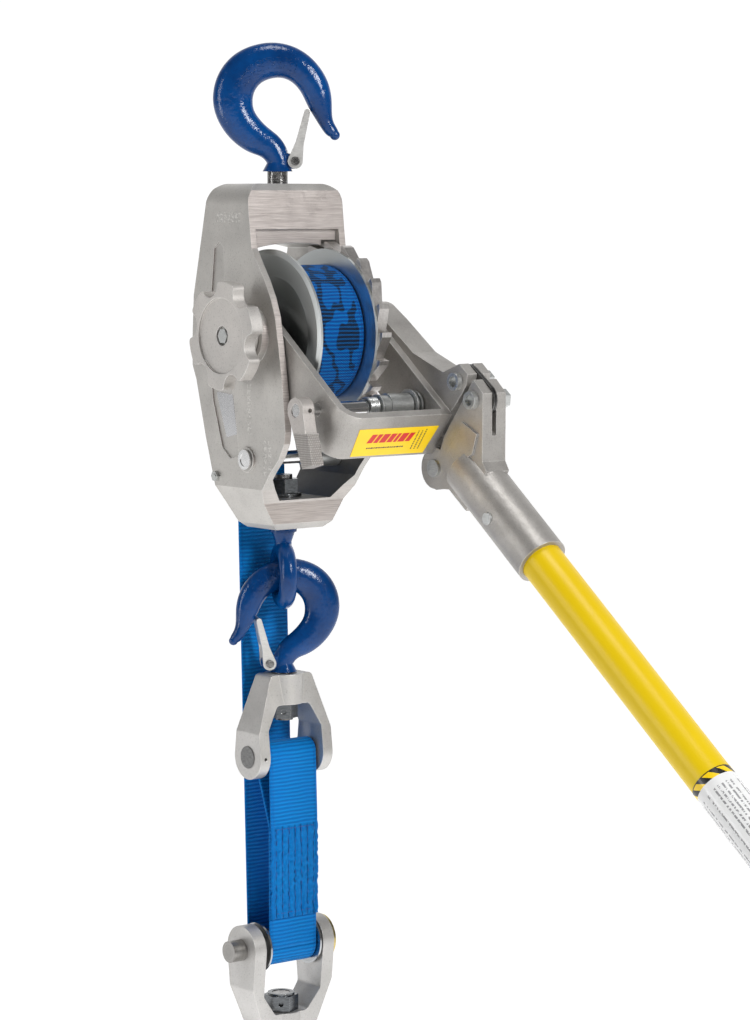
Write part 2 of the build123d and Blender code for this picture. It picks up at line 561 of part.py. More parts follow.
with BuildPart() as handle_label:
    with BuildSketch(across(476)) as sleeve:
        with Locations((HANDLE_X, TUBE_N)):
            Circle(TUBE_R + 0.25)
            Circle(TUBE_R, mode=Mode.SUBTRACT)
    extrude(sleeve.sketch, amount=150)
handle_label.part.label = "handle_label"
export_step(handle_label.part, "parts/handle_label.step")

# ---- pawls --------------------------------------------------------------------------------
NOSE_LAG = 3.4              # the engaged nose stops this many degrees short of the locking face

NOSE_R = 65.2               # how deep the engaged nose reaches between the teeth


def pawl_outline(pin, locking_face, hub_r):
    """Strut from the shaft to the nose, drawn clear of the teeth; it engages when turned by PAWL_SWING."""
    tip = turned(polar(NOSE_R, locking_face - NOSE_LAG), pin, -PAWL_SWING)
    heel = turned(polar(69.4, locking_face - NOSE_LAG), pin, -PAWL_SWING)
    with BuildSketch(side(WHEEL_X)) as strut:
        with Locations(pin):
            Circle(hub_r)
        with BuildLine():
            Polyline(tip, heel, pin, close=True)
        make_face()
        make_hull()
    extrude(strut.sketch, amount=WHEEL_T)
    rod(side(WHEEL_X - 6), pin, PAWL_SHAFT_R + 3.5, 6)


with BuildPart() as holding_pawl:
    pawl_outline(PAWL_PIN, TOOTH_PHASE + 15 * PITCH, 8.5)
    rod(side(WHEEL_X + WHEEL_T), PAWL_PIN, PAWL_SHAFT_R + 3.5, 3)
    rod(side(WHEEL_X - 7), PAWL_PIN, PAWL_SHAFT_R + RUN_CLEAR, 22, mode=Mode.SUBTRACT)
holding_pawl.part.label = "holding_pawl"
export_step(holding_pawl.part, "parts/holding_pawl.step")

with BuildPart() as holding_spring:
    coil(5, PAWL_PIN, 6.6, 1.2, 6)
holding_spring.part.label = "holding_spring"
export_step(holding_spring.part, "parts/holding_spring.step")

with BuildPart() as drive_shaft:
    rod(side(-56.4), DRIVE_PIN, PAWL_SHAFT_R, 116.4)
drive_shaft.part.label = "drive_shaft"
export_step(drive_shaft.part, "parts/drive_shaft.step")

with BuildPart() as drive_pawl:
    pawl_outline(DRIVE_PIN, TOOTH_PHASE + 12 * PITCH, 9.5)
    rod(side(WHEEL_X - 7), DRIVE_PIN, PAWL_SHAFT_R, 24, mode=Mode.SUBTRACT)
drive_pawl.part.label = "drive_pawl"
export_step(drive_pawl.part, "parts/drive_pawl.step")

with BuildPart() as drive_cam:
    with BuildSketch(side(WHEEL_X + WHEEL_T + 0.5)) as cam_base:
        with Locations(DRIVE_PIN):
            Circle(9)
    extrude(cam_base.sketch, amount=11)
    slab(side(WHEEL_X + WHEEL_T + 0.5), ((-72, -52), (-86, -60), (-80, -66), (-70, -62)), 8)
    rod(side(WHEEL_X + WHEEL_T), DRIVE_PIN, PAWL_SHAFT_R, 20, mode=Mode.SUBTRACT)
drive_cam.part.label = "drive_cam"
export_step(drive_cam.part, "parts/drive_cam.step")

with BuildPart() as drive_washers:
    for face, radius in ((47.2, 12), (49.4, 9), (52.6, 10.5), (YOKE_LEFT + YOKE_WALL + GAP, 9), (17.6, 9)):
        tube(side(face), DRIVE_PIN, radius, PAWL_SHAFT_R, 1.6)
drive_washers.part.label = "drive_washers"
export_step(drive_washers.part, "parts/drive_washers.step")

with BuildPart() as drive_spring:
    coil(6.5, DRIVE_PIN, 6.5, 1.1, 5)
drive_spring.part.label = "drive_spring"
export_step(drive_spring.part, "parts/drive_spring.step")

LEVER_OUT, LEVER_IN = -57.0, -46.6
with BuildPart() as reverse_lever:
    rod(side(LEVER_OUT), DRIVE_PIN, 9.4, LEVER_IN - LEVER_OUT)
    thumb_pad = ((-63.2, -55), (-80.3, -94), (-92.4, -90.6), (-86.3, -68), (-84.3, -68.6), (-81.2, -54))
    slab(side(LEVER_OUT), thumb_pad, LEVER_IN - LEVER_OUT)
    rod(side(LEVER_OUT - 1), DRIVE_PIN, PAWL_SHAFT_R, LEVER_IN - LEVER_OUT + 2, mode=Mode.SUBTRACT)
    rod(front(DRIVE_PIN[0] - 4), (LEVER_OUT + 6.5, DRIVE_PIN[1]), 1.7, 8, mode=Mode.SUBTRACT)
reverse_lever.part.label = "reverse_lever"
export_step(reverse_lever.part, "parts/reverse_lever.step")

# ---- bottom eye and load hook -------------------------------------------------------------
EYE_LIMB = 6.75
EYE_RING = 19.5
EYE_Z = FRAME_BOTTOM - 37.0
with BuildPart() as bottom_eye:
    rod(level(FRAME_BOTTOM - 6), (0, EYE_Y), 7.0, 46)
    rod(level(FRAME_BOTTOM - 3.8), (0, EYE_Y), 10.4, 3.5)
    with BuildSketch(level(FRAME_BOTTOM - 3.8)) as eye_flange:
        with Locations((0, EYE_Y)):
            Circle(9.0)
    with BuildSketch(level(FRAME_BOTTOM - 11.5)) as eye_neck:
        with Locations((0, EYE_Y)):
            Circle(6.4)
    loft(sections=[eye_flange.sketch, eye_neck.sketch])
    rod(level(FRAME_BOTTOM - 17), (0, EYE_Y), 6.4, 6)
    eye_facing = Plane(origin=AXLE + Vector(0, EYE_Y, EYE_Z), z_dir=LOAD_TURN)
    with Locations(eye_facing):
        Torus(EYE_RING, EYE_LIMB)
bottom_eye.part.label = "bottom_eye"
export_step(bottom_eye.part, "parts/bottom_eye.step")

with BuildPart() as eye_nut:
    tube(level(-124 + GAP), (0, EYE_Y), 14, 7.0, 2.4)
    hexagon(level(-121.3), (0, EYE_Y), 21, 11, bore=7.0)
eye_nut.part.label = "eye_nut"
export_step(eye_nut.part, "parts/eye_nut.step")

with BuildPart() as load_hook:
    hook_limb(LOAD_HOOK, SMALL_HOOK)
    hook_fittings(LOAD_HOOK, SMALL_HOOK, 37)
load_hook.part.label = "load_hook"
export_step(load_hook.part, "parts/load_hook.step")

with BuildPart() as load_latch:
    latch_body(LOAD_HOOK, SMALL_HOOK)
load_latch.part.label = "load_latch"
export_step(load_latch.part, "parts/load_latch.step")

ANCHOR_CEILING = ANCHOR_TOP - 23
with BuildPart() as load_hook_nut:
    hexagon(nut_plane(EYE_Y, ANCHOR_CEILING - GAP - 11), (0, 0), 18.5, 11, bore=SHANK_R * SMALL_HOOK)
    rod(nut_face(EYE_Y, ANCHOR_CEILING - 6), (0, 0), 2.0, 7, mode=Mode.SUBTRACT)
load_hook_nut.part.label = "load_hook_nut"
export_step(load_hook_nut.part, "parts/load_hook_nut.step")

with BuildPart() as anchor_clevis:
    bridge = (
        (-34, -345), (-34, -302), (-19, ANCHOR_TOP), (19, ANCHOR_TOP), (34, -302), (34, -345),
        (25, -345), (25, -300), (15, ANCHOR_CEILING), (-15, ANCHOR_CEILING), (-25, -300), (-25, -345),
    )
    rounded_slab(front(60), bridge, 4, 90)
    with BuildSketch(side(-35)) as cheek:
        with Locations((EYE_Y, ANCHOR_Z)):
            Circle(17)
        with Locations((EYE_Y, ANCHOR_TOP - 4)):
            Rectangle(19, 8)
        make_hull()
    extrude(cheek.sketch, amount=70, mode=Mode.INTERSECT)
    rod(level(ANCHOR_CEILING), (0, EYE_Y), 15.0, ANCHOR_TOP - ANCHOR_CEILING)
    rod(front(EYE_Y - 12), (-29.5, ANCHOR_Z), 1.3, 10, mode=Mode.SUBTRACT)
    rod(side(-36), (EYE_Y, ANCHOR_Z), ANCHOR_PIN_R, 72, mode=Mode.SUBTRACT)
    rod(level(ANCHOR_TOP - 40), (0, EYE_Y), SHANK_R * SMALL_HOOK + RUN_CLEAR, 50, mode=Mode.SUBTRACT)
anchor_clevis.part.label = "anchor_clevis"
export_step(anchor_clevis.part, "parts/anchor_clevis.step")

with BuildPart() as anchor_pin:
    rod(side(-34.6), (EYE_Y, ANCHOR_Z), ANCHOR_PIN_R, 71.1)
    tube(side(34.2), (EYE_Y, ANCHOR_Z), 12, ANCHOR_PIN_R, 1.4)
anchor_pin.part.label = "anchor_pin"
export_step(anchor_pin.part, "parts/anchor_pin.step")

# ---- strap --------------------------------------------------------------------------------
FRONT_FACE = EYE_Y - ANCHOR_PIN_R - STRAP_THICK
SEW_TOP, SEW_END = -375.0, -446.0
REAR_ANGLE = -20.0          # where the strap leaves the pin at the back
with BuildPart() as strap_loop:
    with BuildSketch(side(STRAP_LEFT)) as loop:
        with BuildLine():
            inner, outer = ANCHOR_PIN_R, ANCHOR_PIN_R + STRAP_THICK
            centre = (EYE_Y, ANCHOR_Z)
            inner_end = (EYE_Y + polar(inner, REAR_ANGLE)[0], ANCHOR_Z + polar(inner, REAR_ANGLE)[1])
            outer_end = (EYE_Y + polar(outer, REAR_ANGLE)[0], ANCHOR_Z + polar(outer, REAR_ANGLE)[1])
            CenterArc(centre, outer, REAR_ANGLE, 180 - REAR_ANGLE)
            CenterArc(centre, inner, REAR_ANGLE, 180 - REAR_ANGLE)
            # the sewn end hangs down the front of the standing part
            tail_face = FRONT_FACE - STRAP_THICK
            Polyline((EYE_Y - outer, ANCHOR_Z), (tail_face, SEW_TOP), (tail_face, SEW_END),
                     (FRONT_FACE, SEW_END), (FRONT_FACE, SEW_TOP), (EYE_Y - inner, ANCHOR_Z))
            back_face = FRONT_FACE + STRAP_THICK
            Polyline(inner_end, (FRONT_FACE + 0.4, SEW_TOP + 1), (back_face, SEW_TOP + 1), outer_end)
        make_face()
    extrude(loop.sketch, amount=STRAP_WIDTH)
strap_loop.part.label = "strap_loop"
export_step(strap_loop.part, "parts/strap_loop.step")

with BuildPart() as strap_front:
    slab(side(STRAP_LEFT), ((FRONT_FACE, SEW_TOP), (FRONT_FACE + STRAP_THICK, SEW_TOP),
                            (FRONT_FACE + STRAP_THICK, ROLLER_Z), (FRONT_FACE, ROLLER_Z)), STRAP_WIDTH)
strap_front.part.label = "strap_front"
export_step(strap_front.part, "parts/strap_front.step")

WRAP_R = ROLLER_R
spool_r = SPOOL_R + 0.3
run_length = hypot(BLOCK_Y, ROLLER_Z)
lean = atan2(BLOCK_Y, -ROLLER_Z) - asin((spool_r - WRAP_R) / run_length)
outward = (cos(lean), sin(lean))
axle_point = (0, 0)
roller_point = (BLOCK_Y, ROLLER_Z)
run_corners = (
    (axle_point, spool_r),
    (roller_point, WRAP_R),
    (roller_point, WRAP_R + STRAP_THICK),
    (axle_point, spool_r + STRAP_THICK),
)
run_points = [(base[0] + outward[0] * reach, base[1] + outward[1] * reach) for base, reach in run_corners]
with BuildPart() as strap_rear:
    slab(side(STRAP_LEFT), run_points, STRAP_WIDTH)
strap_rear.part.label = "strap_rear"
export_step(strap_rear.part, "parts/strap_rear.step")

with BuildPart() as strap_wrap:
    with BuildSketch(side(STRAP_LEFT)) as wrap:
        with BuildLine():
            rear_angle = degrees(lean)
            CenterArc((BLOCK_Y, ROLLER_Z), WRAP_R, 180, 180 + rear_angle)
            CenterArc((BLOCK_Y, ROLLER_Z), WRAP_R + STRAP_THICK, 180, 180 + rear_angle)
            Line((BLOCK_Y - WRAP_R, ROLLER_Z), (BLOCK_Y - WRAP_R - STRAP_THICK, ROLLER_Z))
            Line(run_points[1], run_points[2])
        make_face()
    extrude(wrap.sketch, amount=STRAP_WIDTH)
strap_wrap.part.label = "strap_wrap"
export_step(strap_wrap.part, "parts/strap_wrap.step")

# ---- travelling block ---------------------------------------------------------------------
with BuildPart() as block_clevis:
    cradle = (
        (-37.5, -445), (-37.5, -500), (-21, BLOCK_BASE), (21, BLOCK_BASE), (37.5, -500), (37.5, -445),
        (27, -445), (27, -506), (15, BLOCK_FLOOR), (-15, BLOCK_FLOOR), (-27, -506), (-27, -445),
    )
    rounded_slab(front(80), cradle, 4, 120)
    with BuildSketch(side(-38.5)) as block_cheek:
        with Locations((BLOCK_Y, ROLLER_Z)):
            Circle(18.5)
        with Locations((BLOCK_Y, BLOCK_BASE + 4)):
            Rectangle(21, 8)
        make_hull()
    extrude(block_cheek.sketch, amount=77, mode=Mode.INTERSECT)
    rod(level(BLOCK_BASE), (0, BLOCK_Y), 15.5, BLOCK_FLOOR - BLOCK_BASE)
    rod(side(-39), (BLOCK_Y, ROLLER_Z), BLOCK_PIN_R, 78, mode=Mode.SUBTRACT)
    rod(level(BLOCK_BASE - 1), (0, BLOCK_Y), SHANK_R * SMALL_HOOK + RUN_CLEAR, 30, mode=Mode.SUBTRACT)
block_clevis.part.label = "block_clevis"
export_step(block_clevis.part, "parts/block_clevis.step")

with BuildPart() as block_pin:
    rod(side(-49.5), (BLOCK_Y, ROLLER_Z), BLOCK_PIN_R, 93)
block_pin.part.label = "block_pin"
export_step(block_pin.part, "parts/block_pin.step")

with BuildPart() as block_washer:
    tube(side(37.7), (BLOCK_Y, ROLLER_Z), 17.5, BLOCK_PIN_R, 2.4)
block_washer.part.label = "block_washer"
export_step(block_washer.part, "parts/block_washer.step")

with BuildPart() as block_clip:
    tube(side(40.2), (BLOCK_Y, ROLLER_Z), 12.5, BLOCK_PIN_R, 1.6)
block_clip.part.label = "block_clip"
export_step(block_clip.part, "parts/block_clip.step")

with BuildPart() as roller:
    tube(side(STRAP_LEFT - 0.4), (BLOCK_Y, ROLLER_Z), ROLLER_R - RUN_CLEAR, BLOCK_PIN_R + RUN_CLEAR,
         STRAP_WIDTH + 0.8)
roller.part.label = "roller"
export_step(roller.part, "parts/roller.step")

with BuildPart() as roller_discs:
    for face in (STRAP_LEFT - 2.0, STRAP_RIGHT + 0.4):
        tube(side(face), (BLOCK_Y, ROLLER_Z), 19.0, BLOCK_PIN_R + RUN_CLEAR, 1.6)
roller_discs.part.label = "roller_discs"
export_step(roller_discs.part, "parts/roller_discs.step")

with BuildPart() as block_hook:
    hook_limb(BLOCK_HOOK, SMALL_HOOK)
    hook_fittings(BLOCK_HOOK, SMALL_HOOK, 38.5)
block_hook.part.label = "block_hook"
export_step(block_hook.part, "parts/block_hook.step")

with BuildPart() as block_hook_nut:
    hexagon(nut_plane(BLOCK_Y, BLOCK_FLOOR + GAP), (0, 0), 23, 12, bore=SHANK_R * SMALL_HOOK)
    tube(level(BLOCK_FLOOR + GAP + 12), (0, BLOCK_Y), 10.4, SHANK_R * SMALL_HOOK, 1.6)
    rod(nut_face(BLOCK_Y, BLOCK_FLOOR + 6.5), (0, 0), 2.0, 7, mode=Mode.SUBTRACT)
block_hook_nut.part.label = "block_hook_nut"
export_step(block_hook_nut.part, "parts/block_hook_nut.step")

with BuildPart() as block_latch:
    latch_body(BLOCK_HOOK, SMALL_HOOK)
block_latch.part.label = "block_latch"
export_step(block_latch.part, "parts/block_latch.step")
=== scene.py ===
import json
import math
import random

import bpy
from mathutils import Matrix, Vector, noise


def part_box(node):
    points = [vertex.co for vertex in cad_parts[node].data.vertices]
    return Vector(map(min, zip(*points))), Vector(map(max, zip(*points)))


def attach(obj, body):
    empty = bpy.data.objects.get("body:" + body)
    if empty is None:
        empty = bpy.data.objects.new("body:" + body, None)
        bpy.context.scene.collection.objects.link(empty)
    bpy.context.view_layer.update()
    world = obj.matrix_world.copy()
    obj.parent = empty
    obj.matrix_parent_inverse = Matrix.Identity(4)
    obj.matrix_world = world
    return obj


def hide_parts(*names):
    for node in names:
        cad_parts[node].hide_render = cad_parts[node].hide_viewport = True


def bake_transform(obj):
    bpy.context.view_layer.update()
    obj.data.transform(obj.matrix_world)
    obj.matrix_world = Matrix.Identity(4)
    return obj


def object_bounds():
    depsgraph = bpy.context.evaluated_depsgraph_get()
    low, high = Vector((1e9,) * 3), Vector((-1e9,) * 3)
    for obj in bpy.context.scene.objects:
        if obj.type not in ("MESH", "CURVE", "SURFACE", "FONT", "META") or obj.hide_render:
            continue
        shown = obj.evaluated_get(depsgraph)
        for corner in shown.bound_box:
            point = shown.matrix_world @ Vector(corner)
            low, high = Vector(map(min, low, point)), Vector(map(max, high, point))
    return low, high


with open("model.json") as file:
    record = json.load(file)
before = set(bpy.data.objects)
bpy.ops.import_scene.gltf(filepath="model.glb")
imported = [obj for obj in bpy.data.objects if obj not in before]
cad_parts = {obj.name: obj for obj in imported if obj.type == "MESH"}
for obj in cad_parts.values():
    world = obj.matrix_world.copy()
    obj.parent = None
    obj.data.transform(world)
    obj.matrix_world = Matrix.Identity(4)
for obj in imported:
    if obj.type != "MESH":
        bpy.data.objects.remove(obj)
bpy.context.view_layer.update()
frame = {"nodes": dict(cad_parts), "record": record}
nodes = frame["nodes"]


random.seed(7)
MM = 0.001

# ---- where things are, read from the frame ------------------------------------------------
joints = {j["name"]: j for j in frame["record"]["behaviour"]["joints"]}
AXLE = Vector(joints["drum_spin"]["pos_m"])
ROLLER = Vector(joints["roller_spin"]["pos_m"])
DRIVE = Vector(joints["drive_pawl_turn"]["pos_m"])
PAWL = Vector(joints["holding_pawl_turn"]["pos_m"])


def box(node):
    """The low and high corners of a piece's bounding box."""
    low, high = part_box(node)
    return Vector(low), Vector(high)


SPOOL_LOW, SPOOL_HIGH = box("strap_spool")
STRAP_X0, STRAP_X1 = SPOOL_LOW.x, SPOOL_HIGH.x
STRAP_MID, STRAP_HALF = (STRAP_X0 + STRAP_X1) / 2, (STRAP_X1 - STRAP_X0) / 2
SPOOL_R = (SPOOL_HIGH.z - SPOOL_LOW.z) / 2
STRAP_T = 2 * MM

# ---- camera -------------------------------------------------------------------------------
AZIMUTH, ELEVATION, DISTANCE = math.radians(36.77), math.radians(2.34), 2.4126
SENSOR, LENS = 36.0, 113.24965
back = Vector((-math.sin(AZIMUTH) * math.cos(ELEVATION), -math.cos(AZIMUTH) * math.cos(ELEVATION),
               math.sin(ELEVATION)))
right = Vector((math.cos(AZIMUTH), -math.sin(AZIMUTH), 0))
up = back.cross(right)
AIM_RIGHT, AIM_DOWN = 0.02373, 0.05503
camera = bpy.data.objects.new("camera", bpy.data.cameras.new("camera"))
bpy.context.scene.collection.objects.link(camera)
camera.location = AXLE + back * DISTANCE
aim = -back + right * AIM_RIGHT - up * AIM_DOWN
camera.rotation_euler = aim.to_track_quat("-Z", "Y").to_euler()
camera.data.sensor_width = SENSOR
camera.data.lens = LENS
camera.data.clip_start, camera.data.clip_end = 0.05, 60
bpy.context.scene.camera = camera


# ---- material building --------------------------------------------------------------------
class Shader:
    """A small builder of node materials: most calls add a node and return its output socket."""

    def __init__(self, name):
        self.material = bpy.data.materials.new(name)
        self.material.use_nodes = True
        self.tree = self.material.node_tree
        self.tree.nodes.clear()
        self.out = self.tree.nodes.new("ShaderNodeOutputMaterial")
        self.bsdf = self.tree.nodes.new("ShaderNodeBsdfPrincipled")
        self.tree.links.new(self.bsdf.outputs[0], self.out.inputs["Surface"])

    def set(self, name, value):
        self.feed(self.bsdf.inputs[name], value)

    def feed(self, socket, value):
        """Link a socket or set a number; a colour of three numbers gets its alpha."""
        if hasattr(value, "node"):
            self.tree.links.new(value, socket)
        elif isinstance(value, (tuple, list)) and len(value) == 3 and len(socket.default_value) == 4:
            socket.default_value = (*value, 1.0)
        else:
            socket.default_value = value

    def coords(self, kind="Object"):
        return self.tree.nodes.new("ShaderNodeTexCoord").outputs[kind]

    def stretch(self, vector, scale):
        node = self.tree.nodes.new("ShaderNodeMapping")
        self.tree.links.new(vector, node.inputs["Vector"])
        node.inputs["Scale"].default_value = scale
        return node.outputs[0]

    def noise(self, scale, detail=3.0, rough=0.5, vector=None, distortion=0.0):
        node = self.tree.nodes.new("ShaderNodeTexNoise")
        self.tree.links.new(vector or self.coords(), node.inputs["Vector"])
        node.inputs["Scale"].default_value = scale
        node.inputs["Detail"].default_value = detail
        node.inputs["Roughness"].default_value = rough
        node.inputs["Distortion"].default_value = distortion
        return node.outputs[0]

    def span(self, value, low, high, to_low=0.0, to_high=1.0):
        """Low to high mapped on to to_low to to_high, and held there outside."""
        node = self.tree.nodes.new("ShaderNodeMapRange")
        self.tree.links.new(value, node.inputs["Value"])
        for name, number in (("From Min", low), ("From Max", high), ("To Min", to_low), ("To Max", to_high)):
            node.inputs[name].default_value = number
        return node.outputs[0]

    def math(self, kind, a, b=0.0, c=0.0):
        node = self.tree.nodes.new("ShaderNodeMath")
        node.operation = kind
        for socket, value in zip(node.inputs, (a, b, c)):
            self.feed(socket, value)
        return node.outputs[0]

    def vector(self, kind, a, b=None, output="Vector"):
        node = self.tree.nodes.new("ShaderNodeVectorMath")
        node.operation = kind
        self.feed(node.inputs[0], a)
        if b is not None:
            self.feed(node.inputs[1], b)
        return node.outputs[output]

    def dot(self, a, b):
        return self.vector("DOT_PRODUCT", a, b, "Value")

    def both(self, a, b):
        """Two masks, or a mask and a pattern, multiplied."""
        return self.math("MULTIPLY", a, b)

    def between(self, value, low, high):
        """1 where low < value < high."""
        return self.both(self.math("GREATER_THAN", value, low), self.math("LESS_THAN", value, high))

    def off_axis(self, axis):
        """Distance from the line along x through `axis`, and the x coordinate."""
        x, y, z = self.split(self.coords())
        squares = [self.math("POWER", self.math("SUBTRACT", value, middle), 2.0)
                   for value, middle in ((y, axis.y), (z, axis.z))]
        return self.math("SQRT", self.math("ADD", *squares)), x

    def split(self, vector):
        node = self.tree.nodes.new("ShaderNodeSeparateXYZ")
        self.tree.links.new(vector, node.inputs[0])
        return node.outputs

    def mix(self, factor, a, b):
        node = self.tree.nodes.new("ShaderNodeMix")
        node.data_type = "RGBA"
        self.feed(node.inputs["Factor"], factor)
        self.feed(node.inputs[6], a)
        self.feed(node.inputs[7], b)
        return node.outputs[2]

    def bevel(self, radius):
        node = self.tree.nodes.new("ShaderNodeBevel")
        node.samples = 4
        node.inputs["Radius"].default_value = radius
        return node.outputs[0]

    def normal(self):
        return self.tree.nodes.new("ShaderNodeNewGeometry").outputs["Normal"]

    def bump(self, height, strength, distance, normal=None):
        node = self.tree.nodes.new("ShaderNodeBump")
        node.inputs["Strength"].default_value = strength
        node.inputs["Distance"].default_value = distance
        self.tree.links.new(height, node.inputs["Height"])
        if normal is not None:
            self.tree.links.new(normal, node.inputs["Normal"])
        return node.outputs[0]


def edge_mask(s, radius):
    """1 on an edge's rounded strip, 0 on open faces."""
    return s.span(s.dot(s.bevel(radius), s.normal()), 0.995, 0.90, 0.0, 1.0)


MARK_PITCH, MARK_WIDTH = 4.6 * MM, 0.74


def raised_marks(s, regions):
    """Generic raised foundry marks on the outer face of the left plate.

    A region is (y from, y to, z from, z to, upright) in millimetres from the axle.
    """
    x, y, z = s.split(s.coords())
    outer = s.both(s.math("LESS_THAN", s.split(s.normal())[0], -0.9), s.math("LESS_THAN", x, 0.0))
    shapes = s.span(s.noise(620, 0, 0.5), 0.49, 0.53)
    total = None
    for y0, y1, z0, z1, upright in regions:
        inside = s.both(s.between(y, AXLE.y + y0 * MM, AXLE.y + y1 * MM),
                        s.between(z, AXLE.z + z0 * MM, AXLE.z + z1 * MM))
        place = s.math("FRACT", s.math("MULTIPLY", z if upright else y, 1 / MARK_PITCH))
        mark = s.both(inside, s.math("LESS_THAN", place, MARK_WIDTH))
        total = mark if total is None else s.math("MAXIMUM", total, mark)
    return s.both(s.both(total, shapes), outer)


KNURL_PITCH = 3.3 * MM


def cast_aluminium(name, light=(0.56, 0.54, 0.51), dark=(0.42, 0.405, 0.385), milled_and_lit=None,
                   grain=0.5, knurl=None, marks=None, inner=None, pitted=0.0):
    """Blasted alloy casting: fine grain, cloudy tone, edges lightened by wear and by a painted highlight.

    Faces towards the given machining direction are machined, and their lighter, pinker tone is painted light
    for the lit side. `knurl` is a height below which the surface is knurled.
    `marks` are regions of raised marks. Past `inner`, in x, faces turned to -x and below the axle
    are painted dark as shade inside the frame. `pitted` is the depth of the coarser grain.
    """
    s = Shader(name)
    tone = s.mix(s.span(s.noise(24, 4, 0.55), 0.30, 0.72), dark, light)
    fine = s.noise(2100, 3, 0.65)
    tone = s.mix(s.span(fine, 0.40, 0.70, 0.0, 0.30), tone, (0.72, 0.70, 0.67))
    tone = s.mix(s.span(s.noise(900, 2, 0.5), 0.30, 0.42, 0.32, 0.0), tone, (0.20, 0.19, 0.18))
    smudge = s.span(s.noise(9, 5, 0.65, distortion=0.6), 0.52, 0.75, 0.0, 0.22)
    tone = s.mix(smudge, tone, (0.27, 0.26, 0.245))
    rough = s.span(s.noise(90, 4, 0.6), 0.3, 0.7, 0.40, 0.52)
    # edges lightened: partly wear, partly a painted edge highlight
    tone = s.mix(s.math("MULTIPLY", edge_mask(s, 0.9 * MM), 0.6), tone, (0.88, 0.86, 0.83))
    height = s.math("ADD", s.math("MULTIPLY", fine, 0.5), s.math("MULTIPLY", s.noise(620, 3, 0.6), 0.7))
    if pitted:
        height = s.math("ADD", height, s.math("MULTIPLY", s.noise(260, 2, 0.6), pitted))
    if milled_and_lit:
        # machining lines on these faces are real; their lighter, pinker tone is painted light on the lit
        # front
        facing = s.span(s.dot(s.normal(), milled_and_lit), 0.80, 0.95)
        lines = s.noise(70, 3, 0.6, vector=s.stretch(s.coords(), (0.6, 1, 30)))
        bright = s.mix(s.span(lines, 0.35, 0.65), (0.40, 0.355, 0.335), (0.60, 0.55, 0.52))
        tone = s.mix(facing, tone, bright)
        height = s.math("ADD", height, s.math("MULTIPLY", s.both(lines, facing), 2.2))
        rough = s.math("ADD", rough, s.math("MULTIPLY", facing, -0.06))
    if inner is not None:
        # painted shade: inner faces turned to -x, below the axle, darkened where the frame's inside lies in
        # shade
        x, _, z = s.split(s.coords())
        inside_shade = s.both(s.math("LESS_THAN", s.split(s.normal())[0], -0.3),
                        s.math("GREATER_THAN", x, inner))
        inside_shade = s.both(inside_shade, s.math("LESS_THAN", z, AXLE.z))
        tone = s.mix(s.math("MULTIPLY", inside_shade, 0.85), tone, (0.06, 0.06, 0.06))
    if knurl is not None:
        x, y, z = s.split(s.coords())
        step = 2 * math.pi / KNURL_PITCH
        run = s.math("MULTIPLY", s.math("ADD", x, y), step)
        rise = s.math("MULTIPLY", z, step)
        points = s.both(s.math("SINE", s.math("ADD", run, rise)),
                        s.math("SINE", s.math("SUBTRACT", run, rise)))
        pad = s.math("LESS_THAN", z, knurl)
        dots = s.both(s.span(points, 0.05, 0.75), pad)
        # painted shade: the grooves between the knurl points are darkened
        groove_shade = s.both(s.math("SUBTRACT", 1.0, dots), s.math("MULTIPLY", pad, 0.60))
        tone = s.mix(groove_shade, tone, (0.16, 0.15, 0.14))
        height = s.math("ADD", height, s.math("MULTIPLY", dots, 6.0))
    if marks:
        raised = raised_marks(s, marks)
        tone = s.mix(s.math("MULTIPLY", raised, 0.45), tone, (0.80, 0.78, 0.75))
        height = s.math("ADD", height, s.math("MULTIPLY", raised, 14.0))
    s.set("Base Color", tone)
    s.set("Metallic", 0.70)
    s.set("Roughness", rough)
    s.set("Normal", s.bump(height, grain, 0.10 * MM, s.bevel(0.9 * MM)))
    return s.material


def near_axis(s, joint, radius):
    """1 within a radius of a joint's axis."""
    offset = s.vector("SUBTRACT", s.coords(), tuple(joint["pos_m"]))
    across = s.vector("CROSS_PRODUCT", offset, tuple(joint["axis"]))
    return s.math("LESS_THAN", s.vector("LENGTH", across, output="Value"), radius)


RIVET_R = 3.45 * MM


